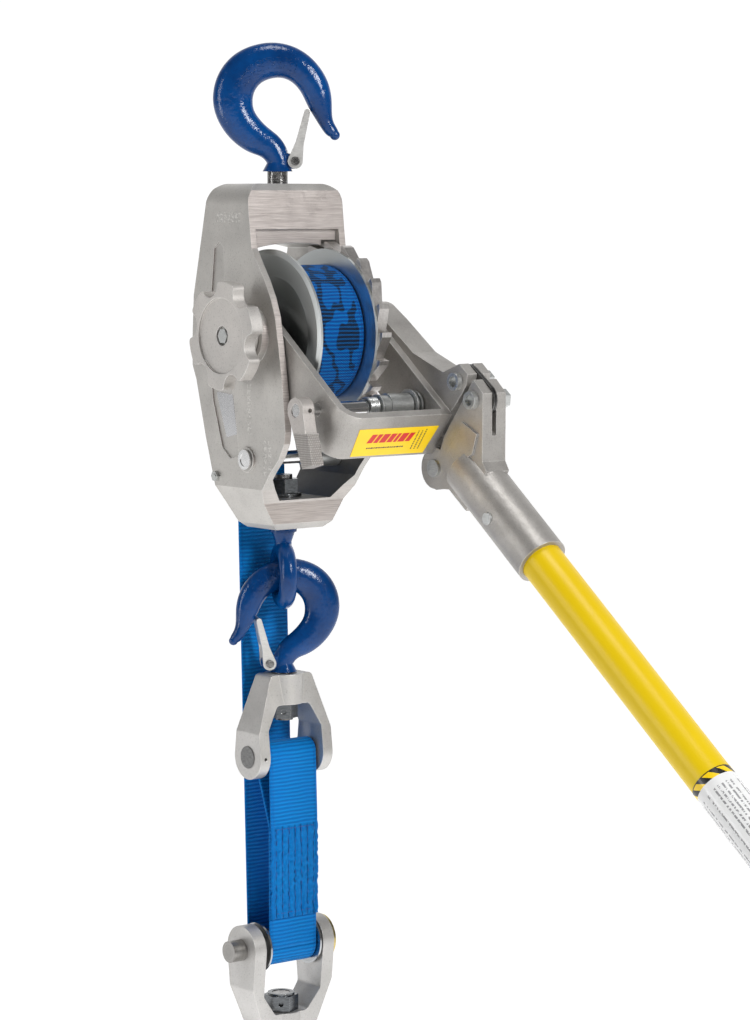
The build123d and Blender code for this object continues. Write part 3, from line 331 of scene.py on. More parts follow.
def forged_blue(name, latch=None, scale=1.0, bare_below=None, bare_above=None, lettered=None):
    """Glossy blue paint over a rough forging; the latch rivet and the shank are bare steel.

    `lettered` is (centre, inner, outer): a ring of generic raised marks round the bowl.
    """
    s = Shader(name)
    cloud = s.noise(38, 4, 0.55)
    tone = s.mix(s.span(cloud, 0.3, 0.7), (0.0, 0.027, 0.120), (0.0, 0.054, 0.215))
    pits = s.noise(330, 3, 0.6)
    tone = s.mix(s.span(pits, 0.30, 0.42, 0.35, 0.0), tone, (0.001, 0.014, 0.085))
    # painted highlight: a lighter blue along the rounded edges
    tone = s.mix(s.math("MULTIPLY", edge_mask(s, 0.8 * MM), 0.10), tone, (0.03, 0.12, 0.40))
    rough = s.span(s.noise(120, 3, 0.5), 0.3, 0.7, 0.12, 0.20)
    bare = None
    if bare_below is not None:
        bare = s.math("LESS_THAN", s.split(s.coords())[2], bare_below)
    if bare_above is not None:
        bare = s.math("GREATER_THAN", s.split(s.coords())[2], bare_above)
    if latch:
        rivet = near_axis(s, latch, RIVET_R * scale)
        bare = rivet if bare is None else s.math("MAXIMUM", bare, rivet)
    if bare is not None:
        steel = s.mix(s.span(s.noise(300, 3, 0.6), 0.35, 0.65), (0.15, 0.145, 0.14), (0.34, 0.335, 0.33))
        tone = s.mix(bare, tone, steel)
        s.set("Metallic", s.math("MULTIPLY", bare, 0.95))
        rough = s.math("ADD", rough, s.math("MULTIPLY", bare, 0.05))
    s.set("Base Color", tone)
    s.set("Roughness", rough)
    s.set("Specular IOR Level", 0.38)
    height = s.math("ADD", s.math("MULTIPLY", pits, 0.9), s.math("MULTIPLY", s.noise(170, 2, 0.5), 0.7))
    if lettered:
        centre, inner, outer = lettered
        x, _, z = s.split(s.coords())
        band = s.between(s.vector("DISTANCE", s.coords(), tuple(centre), "Value"), inner, outer)
        upper = s.both(s.math("GREATER_THAN", z, centre[2] + 12 * MM),
                       s.math("LESS_THAN", x, centre[0] + 6 * MM))
        shapes = s.span(s.noise(330, 0, 0.5), 0.50, 0.54)
        marks = s.both(s.both(band, upper), shapes)
        height = s.math("ADD", height, s.math("MULTIPLY", marks, 1.6))
    s.set("Normal", s.bump(height, 0.75, 0.42 * MM, s.bevel(0.8 * MM)))
    return s.material


def bare_metal(name, light, dark, rough, rings=None, metallic=1.0, scratch=0.08, edge=0.0, cloud=0.12):
    """Plated or polished steel with a cloudy tone and fine scratches.

    Where `rings` is given the scratches are turning rings about the line through it. Where `edge` is given,
    the rounded edges get a painted highlight.
    """
    s = Shader(name)
    vector = s.stretch(s.coords(), (1, 1, 6))
    if rings:
        out, x = s.off_axis(rings)
        join = s.tree.nodes.new("ShaderNodeCombineXYZ")
        s.feed(join.inputs[0], s.math("MULTIPLY", out, 7.0))
        s.feed(join.inputs[1], s.math("MULTIPLY", x, 2.0))
        vector = join.outputs[0]
    streak = s.noise(260, 3, 0.6, vector=vector)
    tone = s.mix(s.span(streak, 0.3, 0.7), dark, light)
    tone = s.mix(s.span(s.noise(40, 4, 0.6), 0.35, 0.70, 0.0, cloud), tone, tuple(0.55 * v for v in light))
    # painted highlight: the rounded edges lightened
    if edge:
        tone = s.mix(s.math("MULTIPLY", edge_mask(s, edge), 0.4), tone, (0.90, 0.90, 0.90))
    s.set("Base Color", tone)
    s.set("Metallic", metallic)
    s.set("Roughness", s.span(s.noise(160, 4, 0.6), 0.3, 0.7, rough * 0.85, rough * 1.2))
    s.set("Normal", s.bump(streak, scratch, 0.05 * MM, s.bevel(edge) if edge else None))
    return s.material


def spun_sheet(name):
    """Spun steel flange: smooth, with faint turning rings, painted darker near the hub and lighter towards
    the rim as shade and reflection.
    """
    s = Shader(name)
    out, _ = s.off_axis(AXLE)
    join = s.tree.nodes.new("ShaderNodeCombineXYZ")
    s.feed(join.inputs[0], out)
    rings = s.noise(1100, 2, 0.6, vector=join.outputs[0])
    # painted shade and reflection: darker near the hub, lighter towards the rim
    tone = s.mix(s.span(out, 30 * MM, 63 * MM), (0.30, 0.325, 0.33), (0.74, 0.77, 0.77))
    tone = s.mix(s.span(rings, 0.3, 0.7, 0.0, 0.14), tone, (0.40, 0.42, 0.43))
    s.set("Base Color", tone)
    s.set("Metallic", 1.0)
    s.set("Roughness", s.span(rings, 0.3, 0.7, 0.30, 0.36))
    s.set("Normal", s.bump(rings, 0.02, 0.04 * MM))
    return s.material


RIB_PITCH, THREAD_PITCH, WEAVE_PITCH = 2.9 * MM, 1.15 * MM, 1.45 * MM
PRINT_HALF = 17.5 * MM


def webbing(name, printed=False, sewn_from=None):
    """Woven strap: transverse ribs, warp threads, heavier selvedges.

    UV is (across, along) in metres. Past `sewn_from` the ribs are lost under rows of stitching.
    """
    s = Shader(name)
    across, along, _ = s.split(s.coords("UV"))
    wander = s.math("MULTIPLY", s.noise(60, 2, 0.5, vector=s.coords("UV")), 0.0013)
    rib = s.math("SINE", s.math("MULTIPLY", s.math("ADD", along, wander), 2 * math.pi / RIB_PITCH))
    seam = None
    if sewn_from is not None:
        past = s.math("GREATER_THAN", along, sewn_from)
        cloth = s.noise(420, 3, 0.7, vector=s.stretch(s.coords("UV"), (1.6, 1, 1)))
        rib = s.mix(past, rib, s.span(cloth, 0.3, 0.7, -1.1, 1.1))
        drift = s.span(s.noise(70, 2, 0.5, vector=s.coords("UV")), 0.0, 1.0, -1.6 * MM, 1.6 * MM)
        shifted = s.math("ADD", s.math("ADD", across, SEAM_HALF + row_gap / 2), drift)
        phase = s.math("FRACT", s.math("MULTIPLY", shifted, 1 / row_gap))
        near = s.math("ABSOLUTE", s.math("SUBTRACT", phase, 0.5))
        seam = s.both(s.both(s.math("LESS_THAN", near, 0.055), past),
                      s.math("LESS_THAN", s.math("ABSOLUTE", across), SEAM_HALF + 1 * MM))
        dashes = s.math("GREATER_THAN", s.noise(260, 1, 0.5, vector=s.coords("UV")), 0.43)
        seam = s.both(seam, dashes)
    thread = s.math("MULTIPLY", across, 1 / THREAD_PITCH)
    odd = s.math("MULTIPLY", s.math("FLOOR", thread), math.pi)
    weave = s.math("SINE", s.math("ADD", s.math("MULTIPLY", along, 2 * math.pi / WEAVE_PITCH), odd))
    warp = s.math("ABSOLUTE", s.math("SINE", s.math("MULTIPLY", thread, math.pi)))
    height = s.math("ADD", s.math("MULTIPLY", rib, 0.6), s.math("MULTIPLY", s.both(weave, warp), 0.5))
    height = s.math("ADD", height, s.math("MULTIPLY", s.noise(1400, 2, 0.6), 0.5))
    selvedge = s.span(s.math("ABSOLUTE", across), STRAP_HALF - 3.2 * MM, STRAP_HALF - 2.4 * MM)
    from_middle = s.math("ABSOLUTE", s.math("SUBTRACT", s.math("MULTIPLY", selvedge, 2.0), 1.0))
    groove = s.math("MULTIPLY", s.math("SUBTRACT", 1.0, from_middle), 0.7)
    height = s.math("SUBTRACT", height, groove)
    # tone follows the weave's relief, darker in its hollows and lighter on its ridges: painted shade and
    # light
    tone = s.mix(s.span(height, -0.8, 1.3), (0.0, 0.085, 0.32), (0.0, 0.290, 0.78))
    cloud = s.span(s.noise(30, 3, 0.6, vector=s.coords("UV")), 0.35, 0.70, 0.0, 0.35)
    tone = s.mix(cloud, tone, (0.0, 0.17, 0.60))
    tone = s.mix(s.math("MULTIPLY", selvedge, 0.35), tone, (0.0, 0.14, 0.50))
    if seam is not None:
        tone = s.mix(s.math("MULTIPLY", seam, 0.85), tone, (0.0, 0.028, 0.12))
        height = s.math("SUBTRACT", height, s.math("MULTIPLY", seam, 1.4))
    if printed:
        strokes = s.noise(62, 1, 0.3, vector=s.stretch(s.coords("UV"), (1.0, 0.7, 1)))
        ink = s.math("LESS_THAN", s.math("ABSOLUTE", s.math("SUBTRACT", strokes, 0.5)), 0.058)
        ink = s.both(ink, s.math("LESS_THAN", s.math("ABSOLUTE", across), PRINT_HALF))
        broken = s.span(height, -0.3, 0.9, 1.0, 0.45)
        # painted shade: the strap wound on the drum is darkened, most in the weave's hollows, as it lies in
        # shade between the flanges
        tone = s.mix(s.span(height, -0.2, 0.9, 0.90, 0.45), tone, (0.0, 0.040, 0.20))
        tone = s.mix(s.both(ink, broken), tone, (0.004, 0.006, 0.010))
    s.set("Base Color", tone)
    s.set("Roughness", 0.60)
    s.set("Sheen Weight", 0.05)
    s.set("Sheen Roughness", 0.4)
    s.set("Specular IOR Level", 0.12)
    s.set("Normal", s.bump(height, 1.0, 0.32 * MM))
    return s.material


def gloss_tube(name):
    """Yellow resin tube with a faint drawn grain."""
    s = Shader(name)
    run = s.noise(8, 3, 0.5, vector=s.stretch(s.coords(), (4, 1, 1)))
    tone = s.mix(s.span(run, 0.3, 0.7), (0.72, 0.49, 0.001), (0.76, 0.54, 0.003))
    fibre = s.noise(260, 3, 0.6, vector=s.stretch(s.coords(), (6, 1, 1)))
    tone = s.mix(s.span(fibre, 0.60, 0.75, 0.0, 0.06), tone, (0.72, 0.42, 0.0))
    s.set("Base Color", tone)
    s.set("Roughness", s.span(s.noise(150, 3, 0.5), 0.3, 0.7, 0.30, 0.36))
    s.set("Specular IOR Level", 0.32)
    s.set("Normal", s.bump(fibre, 0.03, 0.05 * MM, s.bevel(0.5 * MM)))
    return s.material


def rubber(name):
    """Matt black rubber."""
    s = Shader(name)
    s.set("Base Color", s.mix(s.noise(200, 3, 0.6), (0.010, 0.010, 0.010), (0.028, 0.028, 0.027)))
    s.set("Roughness", s.span(s.noise(300, 3, 0.5), 0.3, 0.7, 0.5, 0.7))
    s.set("Normal", s.bump(s.noise(1500, 3, 0.6), 0.3, 0.08 * MM, s.bevel(0.5 * MM)))
    return s.material


def vinyl(name, base, scuff):
    """Printed film, scuffed in places towards `scuff`."""
    s = Shader(name)
    s.set("Base Color", s.mix(s.span(s.noise(70, 4, 0.6), 0.35, 0.75, 0.0, 0.4), base, scuff))
    s.set("Roughness", s.span(s.noise(200, 3, 0.5), 0.3, 0.7, 0.30, 0.42))
    s.set("Normal", s.bump(s.noise(500, 2, 0.5), 0.06, 0.06 * MM))
    return s.material


STRIPE_PITCH, LINE_PITCH = 12.5 * MM, 3.4 * MM


def handle_wrap(name, around, length):
    """White printed sleeve with hazard-striped borders; UV is (around, along) in metres."""
    s = Shader(name)
    u, v, _ = s.split(s.coords("UV"))
    from_end = s.math("MINIMUM", v, s.math("SUBTRACT", length, v))
    from_side = s.math("MINIMUM", u, s.math("SUBTRACT", around, u))
    from_rim = s.math("MINIMUM", from_end, from_side)
    border = s.math("LESS_THAN", from_rim, 6.5 * MM)
    rim = s.math("LESS_THAN", from_rim, 0.8 * MM)
    slant = s.math("FRACT", s.math("MULTIPLY", s.math("ADD", u, v), 1 / STRIPE_PITCH))
    hazard = s.mix(s.math("LESS_THAN", slant, 0.5), (0.92, 0.62, 0.004), (0.012, 0.012, 0.012))
    hazard = s.mix(rim, hazard, (0.012, 0.012, 0.012))
    rows = s.math("MULTIPLY", u, 1 / LINE_PITCH)
    line = s.math("LESS_THAN", s.math("ABSOLUTE", s.math("SUBTRACT", s.math("FRACT", rows), 0.5)), 0.21)
    marks = s.noise(1.0, 1, 0.5, vector=s.stretch(s.coords("UV"), (294, 700, 1)))
    words = s.math("GREATER_THAN", marks, 0.46)
    margin = s.both(s.math("GREATER_THAN", from_end, 13 * MM), s.math("GREATER_THAN", from_side, 10 * MM))
    gap = s.tree.nodes.new("ShaderNodeTexWhiteNoise")
    gap.noise_dimensions = "1D"
    s.tree.links.new(s.math("FLOOR", rows), gap.inputs["W"])
    used = s.math("GREATER_THAN", gap.outputs["Value"], 0.22)
    ink = s.both(s.both(line, words), s.both(margin, used))
    paper = s.mix(s.span(s.noise(60, 3, 0.6), 0.4, 0.8, 0.0, 0.3), (0.80, 0.80, 0.80), (0.66, 0.66, 0.65))
    paper = s.mix(s.math("MULTIPLY", ink, 0.75), paper, (0.12, 0.12, 0.13))
    s.set("Base Color", s.mix(border, paper, hazard))
    s.set("Roughness", s.span(s.noise(150, 3, 0.5), 0.3, 0.7, 0.25, 0.38))
    s.set("Coat Weight", 0.2)
    s.set("Normal", s.bump(s.noise(400, 2, 0.5), 0.05, 0.05 * MM))
    return s.material


FRONT = (0.0, -1.0, 0.0)
SMALL_HOOK = 0.9
COLLAR_UNDER_LATCH = 7.9 * MM
top_latch, load_latch, block_latch = (joints[f"{hook}_latch_hinge"] for hook in ("top", "load", "block"))
MARKS = (
    (0, 5, -74, -22, True),
    (-25, -21, -108, -76, True),
    (-19, -15, -104, -76, True),
    (13, 45, 83, 91, False),
)
KNURLED_BELOW = DRIVE.z - 16.5 * MM
CAST = cast_aluminium("cast_frame", milled_and_lit=FRONT, marks=MARKS, inner=10 * MM, grain=0.7)
CAST_ARM = cast_aluminium("cast_arm", light=(0.46, 0.44, 0.415), dark=(0.29, 0.275, 0.26), grain=0.9,
                          pitted=2.2)
CAST_CLEVIS = cast_aluminium("cast_clevis", light=(0.62, 0.605, 0.59), dark=(0.48, 0.47, 0.455), grain=0.7)
CAST_LEVER = cast_aluminium("cast_lever", light=(0.54, 0.50, 0.47), dark=(0.44, 0.41, 0.39),
                            knurl=KNURLED_BELOW)
CAST_KNOB = cast_aluminium("cast_knob", light=(0.60, 0.57, 0.54), dark=(0.48, 0.46, 0.44), grain=0.35)
BLUE_TOP = forged_blue("forged_blue_top", top_latch, bare_below=top_latch["pos_m"][2] - COLLAR_UNDER_LATCH,
                       lettered=(Vector((0.0, 0.0, 0.0)), 27 * MM, 36 * MM))
load_low, load_high = box("load_hook")
BOWL = Vector(((load_low.x + load_high.x) / 2, (load_low.y + load_high.y) / 2,
               load_high.z - 36 * MM))
BLUE_LOAD = forged_blue("forged_blue_load", load_latch, SMALL_HOOK,
                        bare_below=load_latch["pos_m"][2] - COLLAR_UNDER_LATCH * SMALL_HOOK,
                        lettered=(BOWL, 22 * MM, 32 * MM))
BLUE_BLOCK = forged_blue("forged_blue_block", block_latch, SMALL_HOOK,
                         bare_above=block_latch["pos_m"][2] + COLLAR_UNDER_LATCH * SMALL_HOOK)
BLUE_EYE = forged_blue("forged_blue_eye", bare_above=box("frame_casting")[0].z + 1 * MM)
SHEET = spun_sheet("rolled_sheet")
LATCH = bare_metal("nickel_latch", (0.84, 0.83, 0.80), (0.68, 0.67, 0.65), 0.36, metallic=0.85, edge=0.3 * MM)
ZINC = bare_metal("zinc_plate", (0.68, 0.69, 0.68), (0.50, 0.51, 0.50), 0.32, metallic=0.9, edge=0.3 * MM)
WHEEL = bare_metal("machined_plate", (0.66, 0.63, 0.61), (0.50, 0.48, 0.46), 0.34, rings=AXLE, edge=0.35 * MM)
CHROME = bare_metal("chrome", (0.86, 0.86, 0.86), (0.76, 0.76, 0.76), 0.13, scratch=0.02, cloud=0.05)
NUT = bare_metal("nut_steel", (0.20, 0.21, 0.22), (0.10, 0.105, 0.11), 0.22, edge=0.35 * MM)
PIN = bare_metal("pin_steel", (0.24, 0.24, 0.235), (0.13, 0.13, 0.13), 0.24, scratch=0.15)
DARK = bare_metal("oiled_steel", (0.17, 0.165, 0.16), (0.09, 0.09, 0.09), 0.34)
TURNED = bare_metal("turned_steel", (0.42, 0.41, 0.39), (0.27, 0.26, 0.25), 0.34, rings=ROLLER)
CHROMED_DISC = bare_metal("disc_steel", (0.52, 0.53, 0.54), (0.36, 0.37, 0.38), 0.22, rings=ROLLER)
BRASSY = bare_metal("yellow_zinc", (0.72, 0.58, 0.24), (0.50, 0.40, 0.16), 0.26, rings=ROLLER)
FOIL = bare_metal("foil", (0.78, 0.78, 0.79), (0.70, 0.70, 0.72), 0.20, scratch=0.03)
STRAP = webbing("strap_weave")
STRAP_PRINT_SHADED = webbing("strap_weave_printed_shaded", printed=True)
TUBE = gloss_tube("yellow_tube")
PLUG = rubber("black_plug")
YELLOW_VINYL = vinyl("yellow_vinyl", (0.93, 0.62, 0.004), (0.80, 0.50, 0.004))

NODE_MATERIALS = {
    CAST: ("frame_casting",),
    CAST_CLEVIS: ("anchor_clevis", "block_clevis"),
    CAST_ARM: ("yoke", "handle_socket", "drum_core"),
    CAST_LEVER: ("reverse_lever",),
    CAST_KNOB: ("knob",),
    BLUE_TOP: ("top_hook",),
    BLUE_LOAD: ("load_hook",),
    BLUE_BLOCK: ("block_hook",),
    BLUE_EYE: ("bottom_eye",),
    SHEET: ("left_flange", "right_flange"),
    ZINC: ("plate_screws", "top_hook_nut", "axle_nut", "knob_screw", "link_bolts", "pivot_pin",
           "socket_rivet", "drive_pawl", "drive_cam", "drive_washers", "holding_pawl", "holding_spring",
           "drive_spring"),
    LATCH: ("top_latch", "load_latch", "block_latch"),
    NUT: ("eye_nut", "load_hook_nut", "block_hook_nut"),
    PIN: ("anchor_pin",),
    CHROMED_DISC: ("roller_discs",),
    WHEEL: ("ratchet_wheel",),
    TURNED: ("block_pin", "roller"),
    CHROME: ("drive_shaft", "holding_pawl_shaft"),
    DARK: ("drum_axle", "link_plates"),
    BRASSY: ("block_clip", "block_washer"),
    FOIL: ("plate_label",),
    TUBE: ("handle_tube",),
    PLUG: ("end_cap",),
    YELLOW_VINYL: ("yoke_label",),
    STRAP: ("strap_loop", "strap_front", "strap_rear", "strap_wrap", "strap_spool"),
}
for material, node_names in NODE_MATERIALS.items():
    for name in node_names:
        mesh = nodes[name].data
        mesh.materials.clear()
        mesh.materials.append(material)


# ---- pieces -------------------------------------------------------------------------------
def piece(name, verts, faces, material, uvs=None, smooth=True):
    """A mesh object; `uvs` has one pair for each vertex."""
    mesh = bpy.data.meshes.new(name)
    mesh.from_pydata(verts, [], faces)
    mesh.materials.append(material)
    if uvs:
        layer = mesh.uv_layers.new(name="UVMap")
        for loop in mesh.loops:
            layer.data[loop.index].uv = uvs[loop.vertex_index]
    for polygon in mesh.polygons:
        polygon.use_smooth = smooth
    mesh.update()
    thing = bpy.data.objects.new(name, mesh)
    bpy.context.scene.collection.objects.link(thing)
    return thing


def grid_faces(rows, ring, base=0, closed=False):
    """Quads between successive rows of `ring` points, joined round where it is closed."""
    faces = []
    for i in range(rows - 1):
        here, after = base + i * ring, base + (i + 1) * ring
        for j in range(ring if closed else ring - 1):
            k = (j + 1) % ring
            faces.append((here + j, here + k, after + k, after + j))
    return faces


def resample(path, step):
    """Even steps along a list of (y, z) points."""
    out = [Vector(path[0])]
    for a, b in zip(path, path[1:]):
        a, b = Vector(a), Vector(b)
        count = max(1, round((b - a).length / step))
        out += [a.lerp(b, (i + 1) / count) for i in range(count)]
    return out


def strap(name, path, material, start=0.0, step=4 * MM, thick=STRAP_T, count=14, pucker=None, sway=None):
    """Webbing along a path in the strap's plane, with rounded selvedges.

    `pucker(across, run)` is how far the cloth lifts from the path, from its stitching, and
    `sway(side, run)` how far its edge wanders sideways.
    """
    points = resample(path, step)
    section = []
    edge = thick / 2
    flat = STRAP_HALF - edge
    for side in (1, -1):
        for i in range(count + 1):
            section.append((side * (2 * flat * i / count - flat), side * edge))
        for i in range(1, 4):
            angle = side * math.pi / 2 - math.pi * i / 4
            section.append((side * flat + edge * math.cos(angle), edge * math.sin(angle)))
    verts, uvs, length = [], [], start
    for i, point in enumerate(points):
        ahead = points[min(i + 1, len(points) - 1)] - points[max(i - 1, 0)]
        ahead.normalize()
        normal = Vector((ahead.y, -ahead.x))
        if i:
            length += (point - points[i - 1]).length
        for x, depth in section:
            lift = pucker(x, length - start) if pucker else 0.0
            place = point + normal * (depth + lift)
            aside = sway(x / STRAP_HALF, length - start) if sway else 0.0
            verts.append((STRAP_MID + x + aside, place.x, place.y))
            uvs.append((x, length))
    ring = len(section)
    faces = grid_faces(len(points), ring, closed=True)
    faces.append(tuple(range(ring - 1, -1, -1)))
    faces.append(tuple((len(points) - 1) * ring + j for j in range(ring)))
    return piece(name, verts, faces, material, uvs), length


def polar(centre, radius, degrees):
    """The (y, z) point at a radius and angle from a centre."""
    return (centre[0] + radius * math.cos(math.radians(degrees)),
            centre[1] + radius * math.sin(math.radians(degrees)))


def arc(centre, radius, start, end, steps):
    """The (y, z) points of an arc between two angles in degrees."""
    return [polar(centre, radius, start + (end - start) * i / steps) for i in range(steps + 1)]


front_low, front_high = box("strap_front")
loop_low, loop_high = box("strap_loop")
axle = (AXLE.y, AXLE.z)
roller = (ROLLER.y, ROLLER.z)
SPOOL_GAP = 0.3 * MM
wrap_mid = (roller[0] - box("strap_wrap")[0].y) - STRAP_T / 2
spool_mid = SPOOL_R + SPOOL_GAP + STRAP_T / 2
# the rear run is the common tangent of the wound strap and the turn round the roller
apart = math.hypot(roller[0] - axle[0], roller[1] - axle[1])
lean = math.degrees(math.atan2(roller[0] - axle[0], axle[1] - roller[1])
                    - math.asin((spool_mid - wrap_mid) / apart))
rear_top = polar(axle, spool_mid, lean)
rear_end = polar(roller, wrap_mid, lean)

rear_piece, used = strap("strap_rear_run", [rear_top, rear_end], STRAP, step=6 * MM)
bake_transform(rear_piece)
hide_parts("strap_rear")

wrap_piece, used = strap("strap_round_roller", arc(roller, wrap_mid, lean, -180, 22), STRAP, start=used,
                         step=2 * MM)
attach(wrap_piece, "block")
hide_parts("strap_wrap")

front_y = front_low.y + STRAP_T / 2
front_piece, used = strap("strap_front_run", [(front_y, roller[1]), (front_y, front_high.z)], STRAP,
                          start=used)
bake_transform(front_piece)
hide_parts("strap_front")

# the loop round the anchor pin: up behind it, over, and down the front as the sewn tail
pin_box = box("anchor_pin")
pin_centre = ((pin_box[0].y + pin_box[1].y) / 2, (pin_box[0].z + pin_box[1].z) / 2)
loop_r = (loop_high.z - pin_centre[1]) - STRAP_T / 2
REAR_ANGLE = -20
tail_y = front_y - STRAP_T
sew_top = front_high.z
loop_path = [(front_y + 0.1 * MM, sew_top), polar(pin_centre, loop_r, REAR_ANGLE)]
loop_path += arc(pin_centre, loop_r, REAR_ANGLE, 180, 24)
loop_path += [(tail_y, sew_top), (tail_y, loop_low.z)]
ROWS, ROW_WANDER = 7, 0.9 * MM
SEAM_HALF = STRAP_HALF - 4.5 * MM
row_gap = 2 * SEAM_HALF / (ROWS - 1)
loop_run = sum((Vector(b) - Vector(a)).length for a, b in zip(loop_path, loop_path[1:]))
sewn = sew_top - loop_low.z
FADE_LEAD, FADE_LENGTH = 4 * MM, 10 * MM


def seam_fade(run):
    """0 before the sewn part, rising to 1 within it."""
    into = run - (loop_run - sewn)
    return min(max((into + FADE_LEAD) / FADE_LENGTH, 0.0), 1.0)


def seam_pucker(across, run):
    """Cloth pulled down along wandering rows of stitches and gathered between them."""
    wander = ROW_WANDER * noise.noise(Vector((across * 60, run * 45, 3.0)))
    ridge = math.cos(2 * math.pi * (across + wander + SEAM_HALF) / row_gap)
    gather = noise.noise(Vector((across * 260, run * 330, 0.0)))
    crease = noise.noise(Vector((across * 620, run * 520, 5.0)))
    edge = max(0.0, 1 - (STRAP_HALF - abs(across)) / (4 * MM))
    frill = edge * noise.noise(Vector((run * 420, across * 9, 8)))
    lift = -0.34 * ridge + 1.15 * gather + 0.50 * crease + 0.9 * frill
    return seam_fade(run) * MM * (lift + 0.45)


def seam_sway(side, run):
    """The sewn edges draw in and out a little."""
    wave = noise.noise(Vector((run * 190, math.copysign(4.0, side), 11.0)))
    return seam_fade(run) * 1.3 * MM * abs(side) ** 3 * wave


SEWN_WEAVE = webbing("strap_weave_sewn", sewn_from=used + loop_run - sewn)
loop_piece, used = strap("strap_loop_round_pin", loop_path, SEWN_WEAVE, start=used, step=1.5 * MM, count=56,
                         pucker=seam_pucker, sway=seam_sway)
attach(loop_piece, "frame")
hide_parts("strap_loop")

# the strap wound on the drum: one long spiral, each turn just clear of the last
TURNS, STEPS_PER_TURN, TURN_PITCH = 14, 90, 2.02 * MM
outermost = SPOOL_R - STRAP_T / 2 - 0.05 * MM
spiral = [polar(axle, outermost - TURN_PITCH * i / STEPS_PER_TURN, lean + 360 * i / STEPS_PER_TURN)
          for i in range(TURNS * STEPS_PER_TURN + 1)]
spool_piece, _ = strap("strap_on_drum", spiral, STRAP_PRINT_SHADED, step=3.6 * MM, thick=1.9 * MM)
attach(spool_piece, "drum")
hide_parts("strap_spool")


# ---- stitching on the sewn part of the strap ----------------------------------------------
def thread_line(verts, faces, a, b, radius, pitch, depth_dir):
    """A row of short stitches from a to b, each one a small arched capsule."""
    a, b = Vector(a), Vector(b)
    count = max(1, int((b - a).length / pitch))
    ahead = (b - a).normalized()
    sideways = ahead.cross(depth_dir).normalized()
    rings, sides = 5, 5
    for i in range(count):
        mid = a + ahead * pitch * (i + 0.5)
        base = len(verts)
        for r in range(rings):
            t = r / (rings - 1)
            arch = depth_dir * radius * 0.9 * math.sin(math.pi * t)
            centre = mid + ahead * pitch * 0.43 * (2 * t - 1) + arch
            size = radius * (0.35 + 0.65 * math.sin(math.pi * (0.12 + 0.76 * t)))
            for k in range(sides):
                turn = 2 * math.pi * k / sides
                verts.append(centre + sideways * size * math.cos(turn) + depth_dir * size * math.sin(turn))
        faces += grid_faces(rings, sides, base, closed=True)


thread = Shader("thread")
thread.set("Base Color", thread.mix(thread.noise(900, 2), (0.0, 0.045, 0.26), (0.004, 0.12, 0.50)))
thread.set("Roughness", 0.55)
thread.set("Sheen Weight", 0.2)
thread.set("Normal", thread.bump(thread.noise(2500, 2), 0.4, 0.1 * MM))
STITCH_R, STITCH_PITCH = 0.26 * MM, 4.6 * MM
BAR_R, BAR_PITCH = 0.36 * MM, 3.2 * MM
LEGS = 8
out_dir = Vector(FRONT)
face_y = tail_y - STRAP_T / 2 - 0.30 * MM
verts, faces = [], []
sew_low, sew_high = loop_low.z + 4 * MM, sew_top - 2 * MM
for i in range(ROWS):
    x = STRAP_MID - SEAM_HALF + row_gap * i
    bends = [(x + ROW_WANDER * noise.noise(Vector((i * 3.7, k * 1.3, 2.0))), face_y,
              sew_high + (sew_low - sew_high) * k / LEGS) for k in range(LEGS + 1)]
    for above, below in zip(bends, bends[1:]):
        thread_line(verts, faces, above, below, STITCH_R, STITCH_PITCH, out_dir)
for z in (sew_high, sew_low):
    thread_line(verts, faces, (STRAP_MID - SEAM_HALF, face_y, z), (STRAP_MID + SEAM_HALF, face_y, z),
                BAR_R, BAR_PITCH, out_dir)
stitches = piece("strap_stitches", verts, faces, thread.material)
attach(stitches, "frame")


# ---- springs ------------------------------------------------------------------------------
SPRING_WIRE, STEPS_PER_COIL = 1.15 * MM, 28


def helix(name, node, centre, turns, body):
    """A wound spring along x that fills the box of the node it stands for."""
    low, high = box(node)
    radius = (high.z - low.z) / 2 - SPRING_WIRE
    curve = bpy.data.curves.new(name, "CURVE")
    curve.dimensions = "3D"
    curve.bevel_depth = SPRING_WIRE * 0.94
    curve.bevel_resolution = 3
    curve.resolution_u = 2
    line = curve.splines.new("POLY")
    count = turns * STEPS_PER_COIL
    line.points.add(count)
    for i in range(count + 1):
        t = i / count
        angle = 2 * math.pi * turns * t
        x = low.x + SPRING_WIRE + (high.x - low.x - 2 * SPRING_WIRE) * t
        line.points[i].co = (x, centre.y + radius * math.cos(angle), centre.z + radius * math.sin(angle), 1)
    curve.materials.append(ZINC)
    thing = bpy.data.objects.new(name, curve)
    bpy.context.scene.collection.objects.link(thing)
    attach(thing, body)
    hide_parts(node)


helix("holding_spring_coil", "holding_spring", PAWL, 6, "frame")
helix("drive_spring_coil", "drive_spring", DRIVE, 5, "drive_pawl")

# ---- handle wrap --------------------------------------------------------------------------
HANDLE_SLOPE = math.radians(37.3)
normal_up = Vector((0, -math.sin(HANDLE_SLOPE), math.cos(HANDLE_SLOPE)))
along_dir = Vector((0, -math.cos(HANDLE_SLOPE), -math.sin(HANDLE_SLOPE)))
tube_low, tube_high = box("handle_tube")
wrap_low, wrap_high = box("handle_label")
wrap_r = (wrap_high.x - wrap_low.x) / 2
wrap_centre = (wrap_low + wrap_high) / 2
wrap_centre.x = (tube_low.x + tube_high.x) / 2
WRAP_LENGTH = 150 * MM
WRAP_SEAM = -math.pi * 0.35
around = 2 * math.pi * wrap_r
verts, uvs = [], []
segments, rings = 72, 12
for i in range(rings + 1):
    v = WRAP_LENGTH * i / rings
    centre = wrap_centre + along_dir * (v - WRAP_LENGTH / 2)
    for k in range(segments + 1):
        turn = 2 * math.pi * k / segments + WRAP_SEAM
        verts.append(centre + Vector((wrap_r * math.cos(turn), 0, 0)) + normal_up * wrap_r * math.sin(turn))
        uvs.append((around * k / segments, v))
